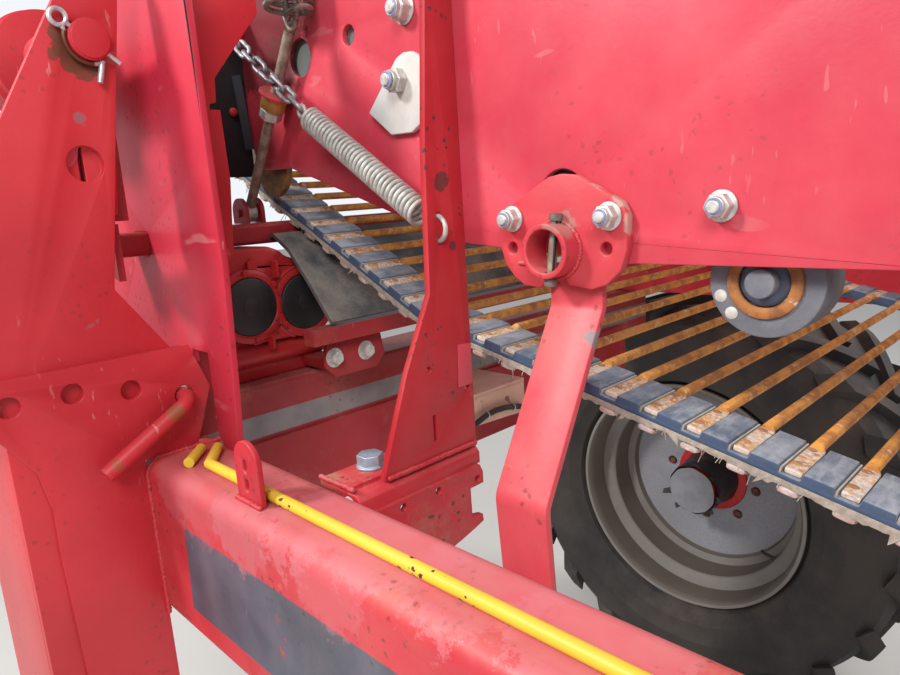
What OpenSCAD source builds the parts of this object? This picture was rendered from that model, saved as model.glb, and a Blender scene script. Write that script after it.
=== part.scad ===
// Sieving web section of a trailed potato harvester, millimetres.
// X runs forward along the chassis rail, Y across the machine, Z up.
// The origin is the middle of the rail's front flange face.

/* [Chassis rail] */
// length of the near chassis rail behind its flange
rail_len = 1210; // [1150:10:1300]
// width of the rail
rail_w = 100; // [80:5:120]
// height of the rail
rail_h = 200; // [160:10:240]
// wall of the rail and of the cross beams
rail_wall = 6; // [4:1:10]
// outer corner radius of the rail
rail_r = 20; // [10:2:26]
// thickness of the front flange
flange_t = 15; // [10:1:20]
// bolt spacing across the front flange
flange_sy = 130; // [126:2:140]
// bolt spacing up the front flange
flange_sz = 150; // [120:10:170]
// bolt hole diameter of the front flange
flange_d = 18; // [14:1:22]

/* [Web] */
// number of rods in the web
rod_n = 72; // [60:1:84]
// diameter of a web rod
rod_d = 11; // [9:1:13]
// radius of the rods' path round the end rollers
web_r = 104; // [95:1:112]
// width of each belt
belt_w = 68; // [50:2:80]
// thickness of each belt
belt_t = 8; // [6:1:10]
// outer edge of the near belt, across the machine
belt_y = 243; // [241:1:246]
// width of the web over both belts
web_w = 820; // [700:10:900]
// length of the flattened rod end that the rivets hold
pad_l = 70; // [66:1:78]
// width of the flattened rod end
pad_w = 17; // [13:1:18]
// height of a belt block above the rods' middle
block_h = 9; // [7:1:10]

/* [Side plates] */
// outer face of the near side plate
side_y = 225; // [222:1:226]
// thickness of the side plates
side_t = 8; // [6:1:10]
// radius of the big hole behind the pivot flange
side_hole_r = 26; // [20:1:30]
// radius of the round hole beside the link rod
view_hole_r = 24; // [18:1:28]

/* [End frame] */
// front face of the pin plate with the row of holes
end_x = -1060; // [-1080:1:-1050]
// thickness of the end frame's plates
end_t = 10; // [8:1:12]
// radius of the pin plate's lock holes
lock_r = 11.3; // [10:0.1:12]
// diameter of the lock pin and its bent handle
lock_d = 19; // [16:1:20]
// diameter of the pivot pin
pivot_d = 42; // [36:1:44]

/* [Wheel] */
// outer radius of the tyre at the lugs' tips
tyre_r = 520; // [490:5:530]
// width of the tyre
tyre_w = 400; // [360:10:420]
// height of a tyre lug
lug_h = 26; // [20:1:32]
// lugs on each side of the tyre
lug_n = 20; // [16:1:24]
// radius of the rim's flange
rim_r = 298; // [290:1:305]
// radius of the stub axle
axle_r = 30; // [26:1:34]
// running clearance of the hub on the stub axle
axle_gap = 0.06; // [0.03:0.01:0.1]

/* [Hidden] */

// which piece to draw, or all

$fn = 48;
weld = 0.3;
rail_top = rail_h / 2;
far_in = belt_y * 2 + web_w - side_y - side_t;
far_out = far_in + side_t;
web_mid = belt_y + web_w / 2;
lp_x = end_x - end_t;
post_x = -784;
wheel_x = -1030;
wheel_z = -412;
wheel_y = 1203;
beam_top = 141;

// the three corners of the web's middle line, front to back
f_x = -80;
f_z = 160;
k_x = -850;
k_z = 334;
r_x = -1270;
r_z = 545;
a_fk = atan2(k_z - f_z, f_x - k_x);
a_kr = atan2(r_z - k_z, k_x - r_x);
l_fk = norm([f_x - k_x, k_z - f_z]);
l_kr = norm([k_x - r_x, r_z - k_z]);
turn = a_kr - a_fk;
cut_k = web_r * tan(turn / 2);
// ends of the loop's parts, measured from under the front roller
e1 = l_fk;
e2 = e1 + web_r * turn * PI / 180;
e3 = e2 + l_kr;
e4 = e3 + PI * web_r;
e5 = e4 + l_kr - cut_k;
e6 = e5 + l_fk - cut_k;
loop_len = e6 + PI * web_r;
pitch = loop_len / rod_n;

function at(x, z, r, n, t) = [x + r * cos(n) - t * sin(n), z + r * sin(n) + t * cos(n), n];
// place on the loop: s along it, r out from the middle line, t a small step along the tangent
function on_loop(s, r, t = 0) =
  s < e1 ? at(f_x - s * cos(a_fk), f_z + s * sin(a_fk), r, -90 - a_fk, -t) :
  s < e2 ? at(k_x, k_z, r, -90 - a_fk - (s - e1) / web_r * 180 / PI, -t) :
  s < e3 ? at(k_x - (s - e2) * cos(a_kr), k_z + (s - e2) * sin(a_kr), r, -90 - a_kr, -t) :
  s < e4 ? at(r_x, r_z, r, -90 - a_kr - (s - e3) / web_r * 180 / PI, -t) :
  s < e5 ? at(r_x + (s - e4) * cos(a_kr), r_z - (s - e4) * sin(a_kr), r, 90 - a_kr, -t) :
  s < e6 ? at(k_x + (s - e5 + cut_k) * cos(a_fk), k_z - (s - e5 + cut_k) * sin(a_fk), r, 90 - a_fk, -t) :
  at(f_x, f_z, r, 90 - a_fk - (s - e6) / web_r * 180 / PI, -t);
// height of the middle line and its slope at x
function mid_z(x) = x > k_x ? f_z + (f_x - x) * tan(a_fk) : k_z + (k_x - x) * tan(a_kr);
function mid_a(x) = x > k_x ? a_fk : a_kr;

module paint() color([0.72, 0.10, 0.14]) children();
module zinc() color([0.62, 0.63, 0.62]) children();
module rust() color([0.66, 0.35, 0.14]) children();
module rubber() color([0.20, 0.22, 0.26]) children();

// a plate across X with its front face at x, outline in Y and Z
module plate_x(x, t) translate([x - t, 0, 0]) rotate([90, 0, 90]) linear_extrude(t) children();
// a plate across Y with its near face at y, outline in X and Z
module plate_y(y, t) translate([0, y + t, 0]) rotate([90, 0, 0]) linear_extrude(t) children();
// a round bar along Y
module bar_y(x, z, y0, y1, r) translate([x, y0, z]) rotate([-90, 0, 0]) cylinder(r = r, h = y1 - y0);
// a round bar along X
module bar_x(y, z, x0, x1, r) translate([x0, y, z]) rotate([0, 90, 0]) cylinder(r = r, h = x1 - x0);
// a rounded rectangle about the middle
module rounded(w, h, r) union() {
  square([w - 2 * r, h], center = true);
  square([w, h - 2 * r], center = true);
  for (x = [-1, 1]) for (y = [-1, 1]) translate([x * (w / 2 - r), y * (h / 2 - r)]) circle(r);
}
// a hexagon nut with its washer, standing on a face towards -Y
module nut_y(x, z, y, af) {
  bar_y(x, z, y - 2.5, y, af * 0.68);
  translate([x, y - 2.5, z]) rotate([90, 0, 0]) cylinder(r = af / 2 / cos(30), h = af * 0.5, $fn = 6);
  bar_y(x, z, y - 2.5 - af * 0.72, y - 2.5, af * 0.42);
}

module rail() paint() {
  translate([-rail_len, 0, 0]) rotate([90, 0, 90]) difference() {
    linear_extrude(rail_len - flange_t) rounded(rail_w, rail_h, rail_r);
    translate([0, 0, rail_wall]) linear_extrude(rail_len - flange_t)
      rounded(rail_w - 2 * rail_wall, rail_h - 2 * rail_wall, rail_r - rail_wall);
  }
}

module rail_flange() paint() difference() {
  plate_x(0, flange_t) rounded(flange_sy + 40, flange_sz + 70, 14);
  for (y = [-1, 1]) for (z = [-1, 1])
    bar_x(y * flange_sy / 2, z * flange_sz / 2, -flange_t - 1, 1, flange_d / 2);
}

rod_r = 6;
module yellow_rod() color([0.85, 0.70, 0.08]) {
  z = rail_top + rod_r;
  bar_x(-12.5, z, -972, -290, rod_r);
  translate([-972, -12.5, z]) sphere(r = rod_r);
  translate([-972, -12.5, z]) rotate([0, -90, -36]) cylinder(r = rod_r, h = 54);
}

module rod_stub() color([0.85, 0.70, 0.08]) {
  translate([-995, -26, rail_top + rod_r]) rotate([0, -90, -42]) cylinder(r = rod_r, h = 46);
}

tab_x = -850;
tab_w = 46;
module rail_tab() paint() plate_y(-30, 6) difference() {
  union() {
    translate([tab_x, rail_top + 41]) circle(tab_w / 2);
    translate([tab_x - tab_w / 2, rail_top]) square([tab_w, 41]);
  }
  for (z = [18, 38]) translate([tab_x - 2, rail_top + z]) {
    for (s = [-1, 1]) translate([0, s * 3]) circle(4);
    square([8, 6], center = true);
  }
}

plate_low = -260;
// the plate with the row of lock holes, cut out round the rail
module pin_plate() paint() plate_x(end_x, end_t) difference() {
  polygon([each [for (a = [250 : -10 : 90]) [-270 + 29.5 * cos(a), 197.5 + 29.5 * sin(a)]],
    [20, 227], [40, 171], [15, 101], [-50, 101], [-50, plate_low], [-149, plate_low], [-149, -127],
    [-153, 25], [-152, 75], [-160, 121], [-180, 153], [-187, 163], [-200, 168.5], [-252, 168.6]]);
  rounded(rail_w, rail_h, rail_r);
  for (p = [[-234.5, 187.5], [-174, 198], [-113.5, 198], [-53, 187.5], lock_at]) translate(p) circle(lock_r);
}

// the tall leaning plate that the pivot pin goes through, with a slotted plate behind its round
// hole and a flange bent back along its lower edge
module end_plate() paint() {
  plate_x(lp_x, end_t) difference() {
    polygon([[-38, 652], [-6, 652], [4, 640], [-1, 603], [-50, 303], [2, 226], [2, 102], [-50.5, 102],
      [-50.5, plate_low], [-180, plate_low], [-181, 156], [-200, 220], [-200, 362], [-130, 488], [-66, 603]]);
    rounded(rail_w, rail_h, rail_r);
    translate([-58.5, 440.6]) circle(19);
    translate([pin_y, pin_z]) circle(pivot_d / 2 + weld);
    translate(lock_at) circle(lock_r);
  }
  plate_x(lp_x - end_t + weld, 8) difference() {
    polygon([[-110, 385], [-30, 385], [-20, 470], [-30, 490], [-110, 490]]);
    translate([-63, 385 + 8]) square([5, 66]);
  }
  plate_y(-181, 8) translate([lp_x - end_t - 210, plate_low]) square([210 + weld, 156 - plate_low]);
}

panel_y = 31;
// the cross bar passes through the panel
module end_panel() paint() plate_y(panel_y, 8) difference() {
  polygon([[-1335, 200], [-1076, 200], [-1076, 217], [-1035, 217], [-1034, 112], [-1022, rail_top],
    [-987, rail_top], [-979, 183], [-968, 324], [-972, 446], [-975, 650], [-1180, 650], [-1335, 500]]);
  translate([bar_x0 + bar_w / 2, bar_z0 + bar_h / 2]) rounded(bar_w + 2 * weld, bar_h + 2 * weld, 6 + weld);
}

// the cross bar's section and place
bar_x0 = -1210;
bar_z0 = 332;
bar_w = 50;
bar_h = 30;
module panel_flange() paint() plate_x(-1030, 8) polygon([[39, 320], [61, 320], [78, 327], [86, 417], [84, 497],
  [71, 497], [72, 504], [80, 505], [82, 532], [146, 609], [147, 650], [39, 650]]);

// a rib behind the leaning plate that ties it to the cross bar
module end_rib() paint() plate_y(-40, 8) polygon([[bar_x0 + bar_w, bar_z0], [lp_x - end_t, 310],
  [lp_x - end_t, 375], [bar_x0 + bar_w, bar_z0 + bar_h]]);

pin_y = -37.7;
pin_z = 567;
// the linch pin's wire goes through the pivot pin at this X and angle
wire_r = 2.4;
wire_x = lp_x + 6;
wire_a = 36.2;
ring_r = 8;
module pivot_pin() paint() difference() {
  union() {
    bar_x(pin_y, pin_z, lp_x - end_t - 30, lp_x + 12, pivot_d / 2);
    bar_x(pin_y, pin_z, lp_x + 12, lp_x + 14, pivot_d / 2 - 1.8);
  }
  translate([wire_x, pin_y, pin_z]) rotate([90 - wire_a, 0, 0])
    cylinder(r = wire_r + weld, h = pivot_d + 4, center = true);
}

// red tube that turns on the pivot pin behind the leaning plate
module pivot_boss() paint() translate([lp_x - end_t - 210, pin_y, pin_z]) rotate([0, 90, 0]) rotate_extrude()
  polygon([[pivot_d / 2 + weld, 0], [60, 0], [60, 56], [64, 58], [64, 68], [60, 70], [60, 90], [31, 96],
    [31, 210 - weld], [pivot_d / 2 + weld, 210 - weld]]);

// clip of bent wire: ring, straight leg through the pin, second leg round the pin's lower left side
module linch_pin() zinc() translate([wire_x, pin_y, pin_z]) {
  hug = pivot_d / 2 + wire_r + weld;
  ring_at = pivot_d / 2 + weld + ring_r + wire_r + 1.5;
  rotate([-wire_a, 0, 0]) {
    translate([0, -ring_at, 0]) rotate([0, 90, 0]) rotate_extrude() translate([ring_r, 0]) circle(wire_r);
    translate([0, ring_r - ring_at - 1, 0]) rotate([-90, 0, 0])
      cylinder(r = wire_r - 0.1, h = ring_at - ring_r + 1 + pivot_d / 2 + 15);
  }
  rotate([90, 0, 90]) rotate([0, 0, 164]) rotate_extrude(angle = 132) translate([hug, 0]) circle(wire_r);
  rotate([164, 0, 0]) translate([0, hug, 0]) rotate([-147.7, 0, 0]) cylinder(r = wire_r - 0.2, h = 7);
  rotate([296, 0, 0]) translate([0, hug, 0]) rotate([50, 0, 0]) translate([0, 0, -22])
    cylinder(r = wire_r + 0.7, h = 23);
}

// the lock pin sits in the last hole and its handle is bent down in front of the plate
lock_bend = 16;
lock_at = [6.6, 167];
module lock_pin() paint() translate([0, lock_at[0], lock_at[1] - lock_r + lock_d / 2 + weld])
rotate([30, 0, 0]) {
  bar_x(0, 0, lp_x - end_t - 8, end_x + 4, lock_d / 2);
  translate([end_x + 4, -lock_bend, 0]) rotate_extrude(angle = 90) translate([lock_bend, 0]) circle(lock_d / 2);
  translate([end_x + 4 + lock_bend, -lock_bend, 0]) rotate([90, 0, 0]) cylinder(r = lock_d / 2, h = 107);
}

// a beam along Y with a cap welded in each end
module tube_y(x0, z0, w, h, y0, y1, t) translate([x0 + w / 2, y1, z0 + h / 2]) rotate([90, 0, 0]) difference() {
  linear_extrude(y1 - y0) rounded(w, h, 6);
  translate([0, 0, t]) linear_extrude(y1 - y0 - 2 * t) rounded(w - 2 * t, h - 2 * t, 3);
}

module cross_bar() paint() tube_y(bar_x0, bar_z0, bar_w, bar_h, -60, far_out, 4);

module lower_beam() paint() tube_y(-1210, beam_top - 100, 100, 100, rail_w / 2, far_out + 110, rail_wall);

module beam_skirt() paint() plate_x(-1104, 6) polygon([[rail_w / 2 + 2, -70], [far_out, -70], [far_out, 60],
  [rail_w / 2 + 2, 60]]);

// dusty angle plate in front of the lower beam, from the skirt forward and down
shelf_start = 385;
shelf_end = 545;
module dust_shelf() paint() {
  translate([-1104 + weld, shelf_start, 70]) cube([130, shelf_end - shelf_start, 6]);
  plate_x(-974, 6) difference() {
    polygon([[shelf_start, 76], [shelf_end, 76], [shelf_end, 34], [shelf_end - 14, 18], [shelf_start, 26]]);
    translate([500, 50]) circle(5);
  }
}

// bent plate that carries the post's foot on the rail's inner edge
bend_r = 24;
module foot_bracket() paint() difference() {
  union() {
    translate([-848, rail_w / 2, rail_top - 8]) cube([848 + post_x - bend_r + 8, 175, 8]);
    intersection() {
      translate([post_x + 8 - bend_r, side_y, rail_top - bend_r]) rotate([90, 0, 0]) difference() {
        cylinder(r = bend_r, h = 175);
        translate([0, 0, -1]) cylinder(r = bend_r - 8, h = 177);
      }
      translate([post_x + 8 - bend_r, 0, rail_top - bend_r]) cube([20, side_y, 20]);
    }
    plate_x(post_x + 8, 8) polygon([[rail_w / 2, rail_top - bend_r], [220, rail_top - bend_r], [225, 66],
      [225, 52], [203, 52], [203.5, 18], [221, 14], [222, 5], [208, 1], [187, -4], [rail_w / 2, -30]]);
  }
  for (p = [[153, 67], [102, 67], [215, 60]]) bar_x(p[0], p[1], post_x - 2, post_x + 10, 4.2);
}

foot_bolt_x = -828;
module foot_bolt() zinc() translate([foot_bolt_x, 103, rail_top]) {
  cylinder(r = 16, h = 3);
  translate([0, 0, 3]) cylinder(r = 15, h = 12, $fn = 6);
}

module post() paint() plate_x(post_x, 8) difference() {
  polygon([[86, rail_top], [side_y, rail_top], [side_y, 690], [187, 690], [187, 573], [173.5, 430], [167, 282],
    [127, 204]]);
  translate([159.5, 120]) square([4, 30]);
  translate([158, 202]) circle(3.5);
  translate([214.5, 169]) circle(4);
  for (z = [-hook_r, hook_r]) translate([spring_y, 349.5 + z]) circle(spring_w / 2 + 1);
}

module side_2d() polygon([[-1340, 560], [-1215, 474], [-1204, 440], [-1160, 436], [-1117, 435],
  [-922, 373], [-851, 350], [-784, 331],
  [-582, 313], [-340, 313], [-250, 120], [-180, 50], [20, 50], [20, 330], [-60, 430], [-300, 590], [-784, 690],
  [-1340, 720]]);

module side_plate_near() paint() plate_y(side_y, side_t) difference() {
  side_2d();
  translate([-653, 375]) circle(side_hole_r);
  translate([-1067, 573]) circle(view_hole_r);
  translate([-960, 580]) circle(view_hole_r / 2);
}

// grey sheet behind the side plate's round holes
module hole_liner() rubber() plate_y(side_y + side_t + weld, 3)
  polygon([[-1135, 520], [-920, 520], [-920, 640], [-1135, 640]]);

// hanging rubber sheet at the rear, between the panel and the side plate
module curtain() rubber() plate_x(-1217, 5)
  polygon([[panel_y + 8 + weld, 430], [side_y - weld, 430], [side_y - weld, 640], [panel_y + 8 + weld, 620]]);

module side_plate_far() paint() plate_y(far_in, side_t) side_2d();

// the casting that carries the pivot tube
module pivot_flange() paint() {
  y = side_y - 10;
  difference() {
    union() {
      plate_y(y, 10) polygon([[-647, 396], [-661, 394], [-712, 368], [-723, 359], [-725, 332], [-718, 310],
        [-706, 297], [-695, 290], [-675, 288], [-661, 299], [-646, 299], [-640, 292], [-615, 289], [-599, 294],
        [-584, 308], [-578, 326], [-577, 356], [-583, 368], [-630, 394]]);
      bar_y(-653, 326, y - 22, y, 26);
    }
    bar_y(-653, 326, y - 23, y + 11, 20.5);
    for (x = [-708, -599]) bar_y(x, 327, y - 1, y + 11, 6);
    translate([-653, y - 11, 326]) cylinder(r = cross_r + weld, h = 60, center = true);
  }
}

// slotted spring pin through the pivot tube
cross_r = 4.6;
module cross_bolt() zinc() translate([-653, side_y - 21, 326]) difference() {
  cylinder(r = cross_r, h = 66, center = true);
  cylinder(r = cross_r - 2, h = 68, center = true);
  rotate([0, 0, -20]) translate([0, -1, -34]) cube([cross_r + 1, 2, 68]);
}

module side_nuts() zinc() {
  nut_y(-706, 356, side_y - 10, 19);
  nut_y(-595, 356, side_y - 10, 19);
  nut_y(-498, 361, side_y, 19);
  nut_y(-856, 586, side_y, 24);
}

arm_x = -670;
arm_w = 60;
arm_t = 8;
arm_r = 26;
// points of an arc about c from angle a to angle b
function arc(c, r, a, b, n = 6) =
  [for (i = [0 : n]) [c[0] + r * cos(a + (b - a) * i / n), c[1] + r * sin(a + (b - a) * i / n)]];
// flat bar, cranked between the side plate and the inside of the rail, with round bends
arm_a = 31.5;
knee = [128 + arm_r, 96];
hip = [side_y - 26 + arm_t, 276];
module arm() paint() translate([arm_x, 0, 0]) rotate([90, 0, 90]) linear_extrude(arm_w)
  polygon(concat([[side_y, 312]], arc(hip, 26 - arm_t, 0, -arm_a), arc(knee, arm_r, 180 - arm_a, 184),
    [[137, -34], [rail_w / 2, -34], [rail_w / 2, -92], [rail_w / 2 + arm_t, -92],
    [rail_w / 2 + arm_t, -42], [145, -42]],
    arc(knee, arm_r - arm_t, 184, 180 - arm_a), arc(hip, 26, -arm_a, 0), [[side_y + arm_t, 312]]));

module cam_plate() color([0.80, 0.80, 0.78]) {
  plate_y(side_y - 8, 8) union() {
    translate([-850, 508]) circle(42);
    polygon([[-912, 486], [-873, 457], [-850, 455], [-830, 470], [-815, 500], [-850, 550], [-876, 545]]);
  }
  nut_y(-864, 512, side_y - 8, 24);
}

idler_x = -471;
idler_r = 46;
idlers = [for (x = [idler_x, -790, -1040])
  [x, mid_z(x) + (web_r - block_h - idler_r - weld) / cos(mid_a(x))]];
module idler(x, z, y0, y1, ys) {
  difference() {
    bar_y(x, z, y0, y1, idler_r);
    bar_y(x, z, y0 - 1, y0 + 5, 24);
    bar_y(x, z, y1 - 5, y1 + 1, 24);
  }
  bar_y(x, z, min(ys, y0 + 5), max(ys, y1 - 5), 12);
}
module idlers_near() rubber() for (p = idlers) idler(p[0], p[1], belt_y + 3, belt_y + 48, side_y + side_t);
module idlers_far() rubber() for (p = idlers) idler(p[0], p[1], far_in - 58, far_in - 13, far_in);

// rusty bearing disc on the side plate near the rear roller, clear of the belt
module rear_idler() rust() bar_y(r_x + 87, r_z - 104, side_y + side_t, belt_y - 1, 43);

drum_r = web_r - block_h - weld;
module end_roller(x, z) {
  bar_y(x, z, side_y + side_t, far_in, 20);
  bar_y(x, z, belt_y + 4, belt_y + belt_w - 4, drum_r);
  bar_y(x, z, belt_y + web_w - belt_w + 4, belt_y + web_w - 4, drum_r);
}
module front_roller() color([0.45, 0.45, 0.46]) end_roller(f_x, f_z);
module rear_roller() color([0.45, 0.45, 0.46]) end_roller(r_x, r_z);

// each belt is one loop; its inner outline carries a block between every two rods
seat = pad_w / 2 + 0.5;
blk = (pitch - pad_w) / 2 - 1.5;
function flat(p) = [p[0], p[1]];
module belt(y) plate_y(y, belt_w) difference() {
  polygon([for (i = [0 : rod_n - 1]) flat(on_loop((i + 0.5) * pitch, web_r + belt_t - 2))]);
  polygon([for (i = [0 : rod_n - 1]) each [
    flat(on_loop(i * pitch, web_r - 2, -seat)), flat(on_loop(i * pitch, web_r - 2, seat)),
    flat(on_loop((i + 0.5) * pitch, web_r - block_h, -blk)), flat(on_loop((i + 0.5) * pitch, web_r - block_h, blk))]]);
}
module web_belts() rubber() {
  belt(belt_y);
  belt(belt_y + web_w - belt_w);
}

// rods run between the belts; their ends are flattened and riveted on the belts' inner side
module web_rods() rust() for (i = [0 : rod_n - 1]) {
  p = on_loop(i * pitch, web_r - 2);
  translate([p[0], 0, p[1]]) rotate([0, -p[2], 0]) {
    translate([-rod_d / 2 + 1, belt_y + belt_w + 0.5, 0]) rotate([-90, 0, 0])
      cylinder(r = rod_d / 2, h = web_w - 2 * belt_w - 1, $fn = 8);
    for (y = [belt_y + 4, belt_y + web_w - 4 - pad_l]) translate([-4, y, -pad_w / 2]) cube([4, pad_l, pad_w]);
  }
}

spring_l = 240;
spring_n = 28;
spring_w = 5;
spring_d = 31;
// close-wound spring from the post to the chain
module coil(n, l, d, w) rotate_extrude() {
  for (i = [0 : n - 1]) translate([(d - w) / 2, w / 2 + i * (l - w) / (n - 1)]) circle(w / 2);
  translate([(d - w) / 2 - 0.8, w / 2]) square([1.6, l - w]);
}
hook_r = 13.5;
spring_y = 187;
module hook_ring(r, w) rotate([90, 0, 0]) rotate_extrude() translate([r, 0]) circle(w / 2);
// the wire of each end turn crosses the coil and goes out to the hook
module spring() zinc() {
  translate([-809, spring_y, 364]) rotate([0, -57.4, 0]) {
    coil(spring_n, spring_l, spring_d, spring_w);
    for (z = [spring_w / 2, spring_l - spring_w / 2]) translate([0, 0, z]) rotate([0, 90, 0])
      cylinder(r = 2.2, h = spring_d - spring_w, center = true);
    translate([0, 0, -12]) cylinder(r = 2.2, h = 14);
    translate([0, 0, spring_l - 2]) cylinder(r = 2.2, h = 6);
    translate([0, 0, spring_l + 10]) hook_ring(7, spring_w);
  }
  translate([-788, spring_y, 349.5]) hook_ring(hook_r, spring_w);
}

link_n = 12;
module link() union() {
  for (s = [-1, 1]) translate([-6, s * 5.5, 0]) rotate([0, 90, 0]) cylinder(r = 2.6, h = 12);
  for (s = [-1, 1]) translate([s * 6, 0, 0]) rotate([0, 0, -90 * s])
    rotate_extrude(angle = 180) translate([5.5, 0]) circle(2.6);
}
chain_y = spring_y;
chain_x0 = -1029;
chain_z0 = 507;
chain_l = 195;
module chain() zinc() translate([chain_x0, chain_y, chain_z0]) rotate([0, 37, 0])
  for (i = [0 : link_n - 1]) translate([-chain_l * i / (link_n - 1), 0, 0]) rotate([i % 2 == 0 ? 0 : 90, 0, 0]) link();

// small brackets on the side plate that hold the chain's end and the upper spring
chain_end = [chain_x0 - (chain_l + 14.1 + weld) * cos(37), chain_z0 + (chain_l + 14.1 + weld) * sin(37)];
rod_a = 35.3;
rod_l = 286;
eye = [-1210 + rod_l * sin(rod_a), 377 + rod_l * cos(rod_a)];
top_x = eye[0] + 5;
top_z = eye[1] + 30;
top_l = 62;
module spring_lugs() paint() {
  translate([chain_end[0], 174, chain_end[1]]) rotate([0, 37, 0]) translate([-8, 0, -15]) cube([8, side_y - 174, 30]);
  translate([top_x - 25, 178, top_z + top_l]) cube([50, side_y - 178, 8]);
}

module link_rod() color([0.42, 0.34, 0.28]) {
  translate([-1210, 203, 377]) rotate([0, rod_a, 0]) {
    cylinder(r = 7, h = rod_l - 10);
    translate([0, 0, 152]) cylinder(r = 14, h = 16, $fn = 6);
    translate([0, 0, 168]) cylinder(r = 17, h = 18);
    translate([0, 0, 186]) cylinder(r = 21.5, h = 5);
    translate([0, 0, rod_l]) rotate([90, 0, 0]) difference() {
      cylinder(r = 13, h = 8, center = true);
      cylinder(r = 6, h = 9, center = true);
    }
  }
  bar_y(-1210, 377, 195, 211, 12);
}

module link_lug() paint() {
  for (y = [187, 213]) plate_y(y, 6) union() {
    difference() {
      translate([-1210, 380]) circle(19);
      translate([-1240, 350]) square([60, bar_z0 + bar_h - 350]);
    }
    translate([-1229, bar_z0 + bar_h]) square([38, 380 - bar_z0 - bar_h]);
  }
  bar_y(-1210, 377, 183, 194.7, 6);
  bar_y(-1210, 377, 211.3, 221, 6);
}

// its lower hook runs through the eye of the link rod
module top_spring() zinc() {
  translate([top_x, 203, top_z]) {
    coil(9, top_l, 42, 6);
    translate([0, 0, 3]) rotate([0, 90, 0]) cylinder(r = 2.6, h = 36, center = true);
  }
  translate([eye[0], 203, eye[1] + 17]) rotate([0, 18, 0]) cylinder(r = 2.4, h = 17);
  translate([eye[0], 203, eye[1] + 8.5]) rotate([0, 90, 0]) rotate_extrude() translate([8.5, 0]) circle(2.5);
}

gear_x = -1120;
module gearbox() paint() {
  difference() {
    union() {
      for (p = [[139, 250], [227, 245]]) bar_x(p[0], p[1], gear_x - 100, gear_x, 52);
      translate([gear_x - 100, 139, 196]) cube([98, 88, 106]);
      translate([gear_x - 90, 110, beam_top]) cube([70, 150, 70]);
      bar_y(gear_x - 22, 178, 90, 262, 16);
      bar_x(145, 306, gear_x - 60, gear_x - 10, 14);
    }
    for (p = [[139, 250], [227, 245]]) bar_x(p[0], p[1], gear_x - 6, gear_x + 1, 42);
  }
}

module gear_caps() rubber() for (p = [[139, 250], [227, 245]]) bar_x(p[0], p[1], gear_x - 6, gear_x + 3, 40);

module gear_bracket() paint() {
  plate_x(-1042, 8) polygon([[205, 196], [300, 196], [306, 160], [290, 143], [215, 143], [200, 160]]);
  translate([gear_x - 20, 225, 146]) cube([90, 34, 15.7]);
}

module tray_bar() paint() translate([-1050, 175, 196]) cube([24, far_in - 175, 22]);

// the flap hangs below the web's lower run, d under the rods
function hang(x, d) = [x, mid_z(x) - web_r / cos(mid_a(x)) - d];
module flap() rubber() plate_y(203, 480) polygon([hang(-1160, 35.4), hang(-1150, 27.3), hang(-1113, 30.7),
  hang(-1073, 52.7), hang(-1026, 83), hang(-1021, 77.5), hang(-1069, 46.6), hang(-1110, 24.2),
  hang(-1148, 21.3), hang(-1160, 30.4)]);

module far_rail() paint() translate([-1210, far_out + 55, 191]) rotate([90, 0, 90]) difference() {
  linear_extrude(1210) rounded(100, 100, 10);
  translate([0, 0, rail_wall]) linear_extrude(1210 - 2 * rail_wall) rounded(88, 88, 4);
}

module far_posts() paint() for (x = [post_x, -240, -1150]) plate_x(x, 8) polygon([[far_out, 241], [far_out + 90, 241],
  [far_out + 60, 420], [far_out + 50, 600], [far_out, 600]]);

// the axle's beam goes over the tyre and its leg comes down outside it
leg_y = wheel_y + tyre_w + 40;
over_tyre = 43;
axle_z = wheel_z + tyre_r + over_tyre;
module axle_beam() paint() tube_y(wheel_x - 40, axle_z, 80, 80, far_out + 105, leg_y + 60, rail_wall);

module axle_leg() paint() translate([wheel_x, leg_y + 60, 0]) rotate([90, 0, 0]) linear_extrude(60) union() {
  translate([-40, wheel_z]) square([80, axle_z - wheel_z]);
  translate([0, wheel_z]) circle(50);
}

// the disc's front face, and the hub's flange behind the disc
disc_y = wheel_y + 202;
disc_t = 8;
hub_y = disc_y + disc_t;
boss_r = 95;
bolt_c = 118;
module stub_axle() zinc() bar_y(wheel_x, wheel_z, hub_y + 10, leg_y, axle_r);

module hub() paint() translate([wheel_x, disc_y, wheel_z]) rotate([-90, 0, 0]) rotate_extrude() polygon([[0, -122],
  [52, -122], [56, -118], [60, -10], [boss_r - 4, -6], [boss_r, -4], [boss_r, disc_t], [bolt_c + 22, disc_t],
  [bolt_c + 22, disc_t + 14], [72, disc_t + 18], [66, disc_t + 120], [axle_r + axle_gap, disc_t + 120],
  [axle_r + axle_gap, disc_t + 8], [0, disc_t + 8]]);

// the rim and its dished disc in one revolved section: bead seats, steps, well, disc
module rim() color([0.48, 0.49, 0.51]) translate([wheel_x, wheel_y, wheel_z]) rotate([-90, 0, 0]) difference() {
  rotate_extrude($fn = 96) polygon([for (p = [[0, 30], [8, 30], [18, 50], [18, 98], [44, 106], [50, 112], [50, 180],
    [68, 187], [72, 202], [rim_r - boss_r - weld, 202], [rim_r - boss_r - weld, 210], [62, 210], [50, 222], [50, 290],
    [24, 300], [18, 306], [18, 350], [8, 370], [0, 370], [0, 360], [11, 354], [11, 299], [17, 293], [43, 284],
    [43, 119], [37, 113], [11, 104], [11, 46], [0, 40]]) [rim_r - p[0], p[1]]]);
  for (i = [0 : 7]) rotate([0, 0, 8 + i * 45]) translate([bolt_c, 0, 190]) cylinder(r = 13, h = 30);
}

tread_r = tyre_r - lug_h;
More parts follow.
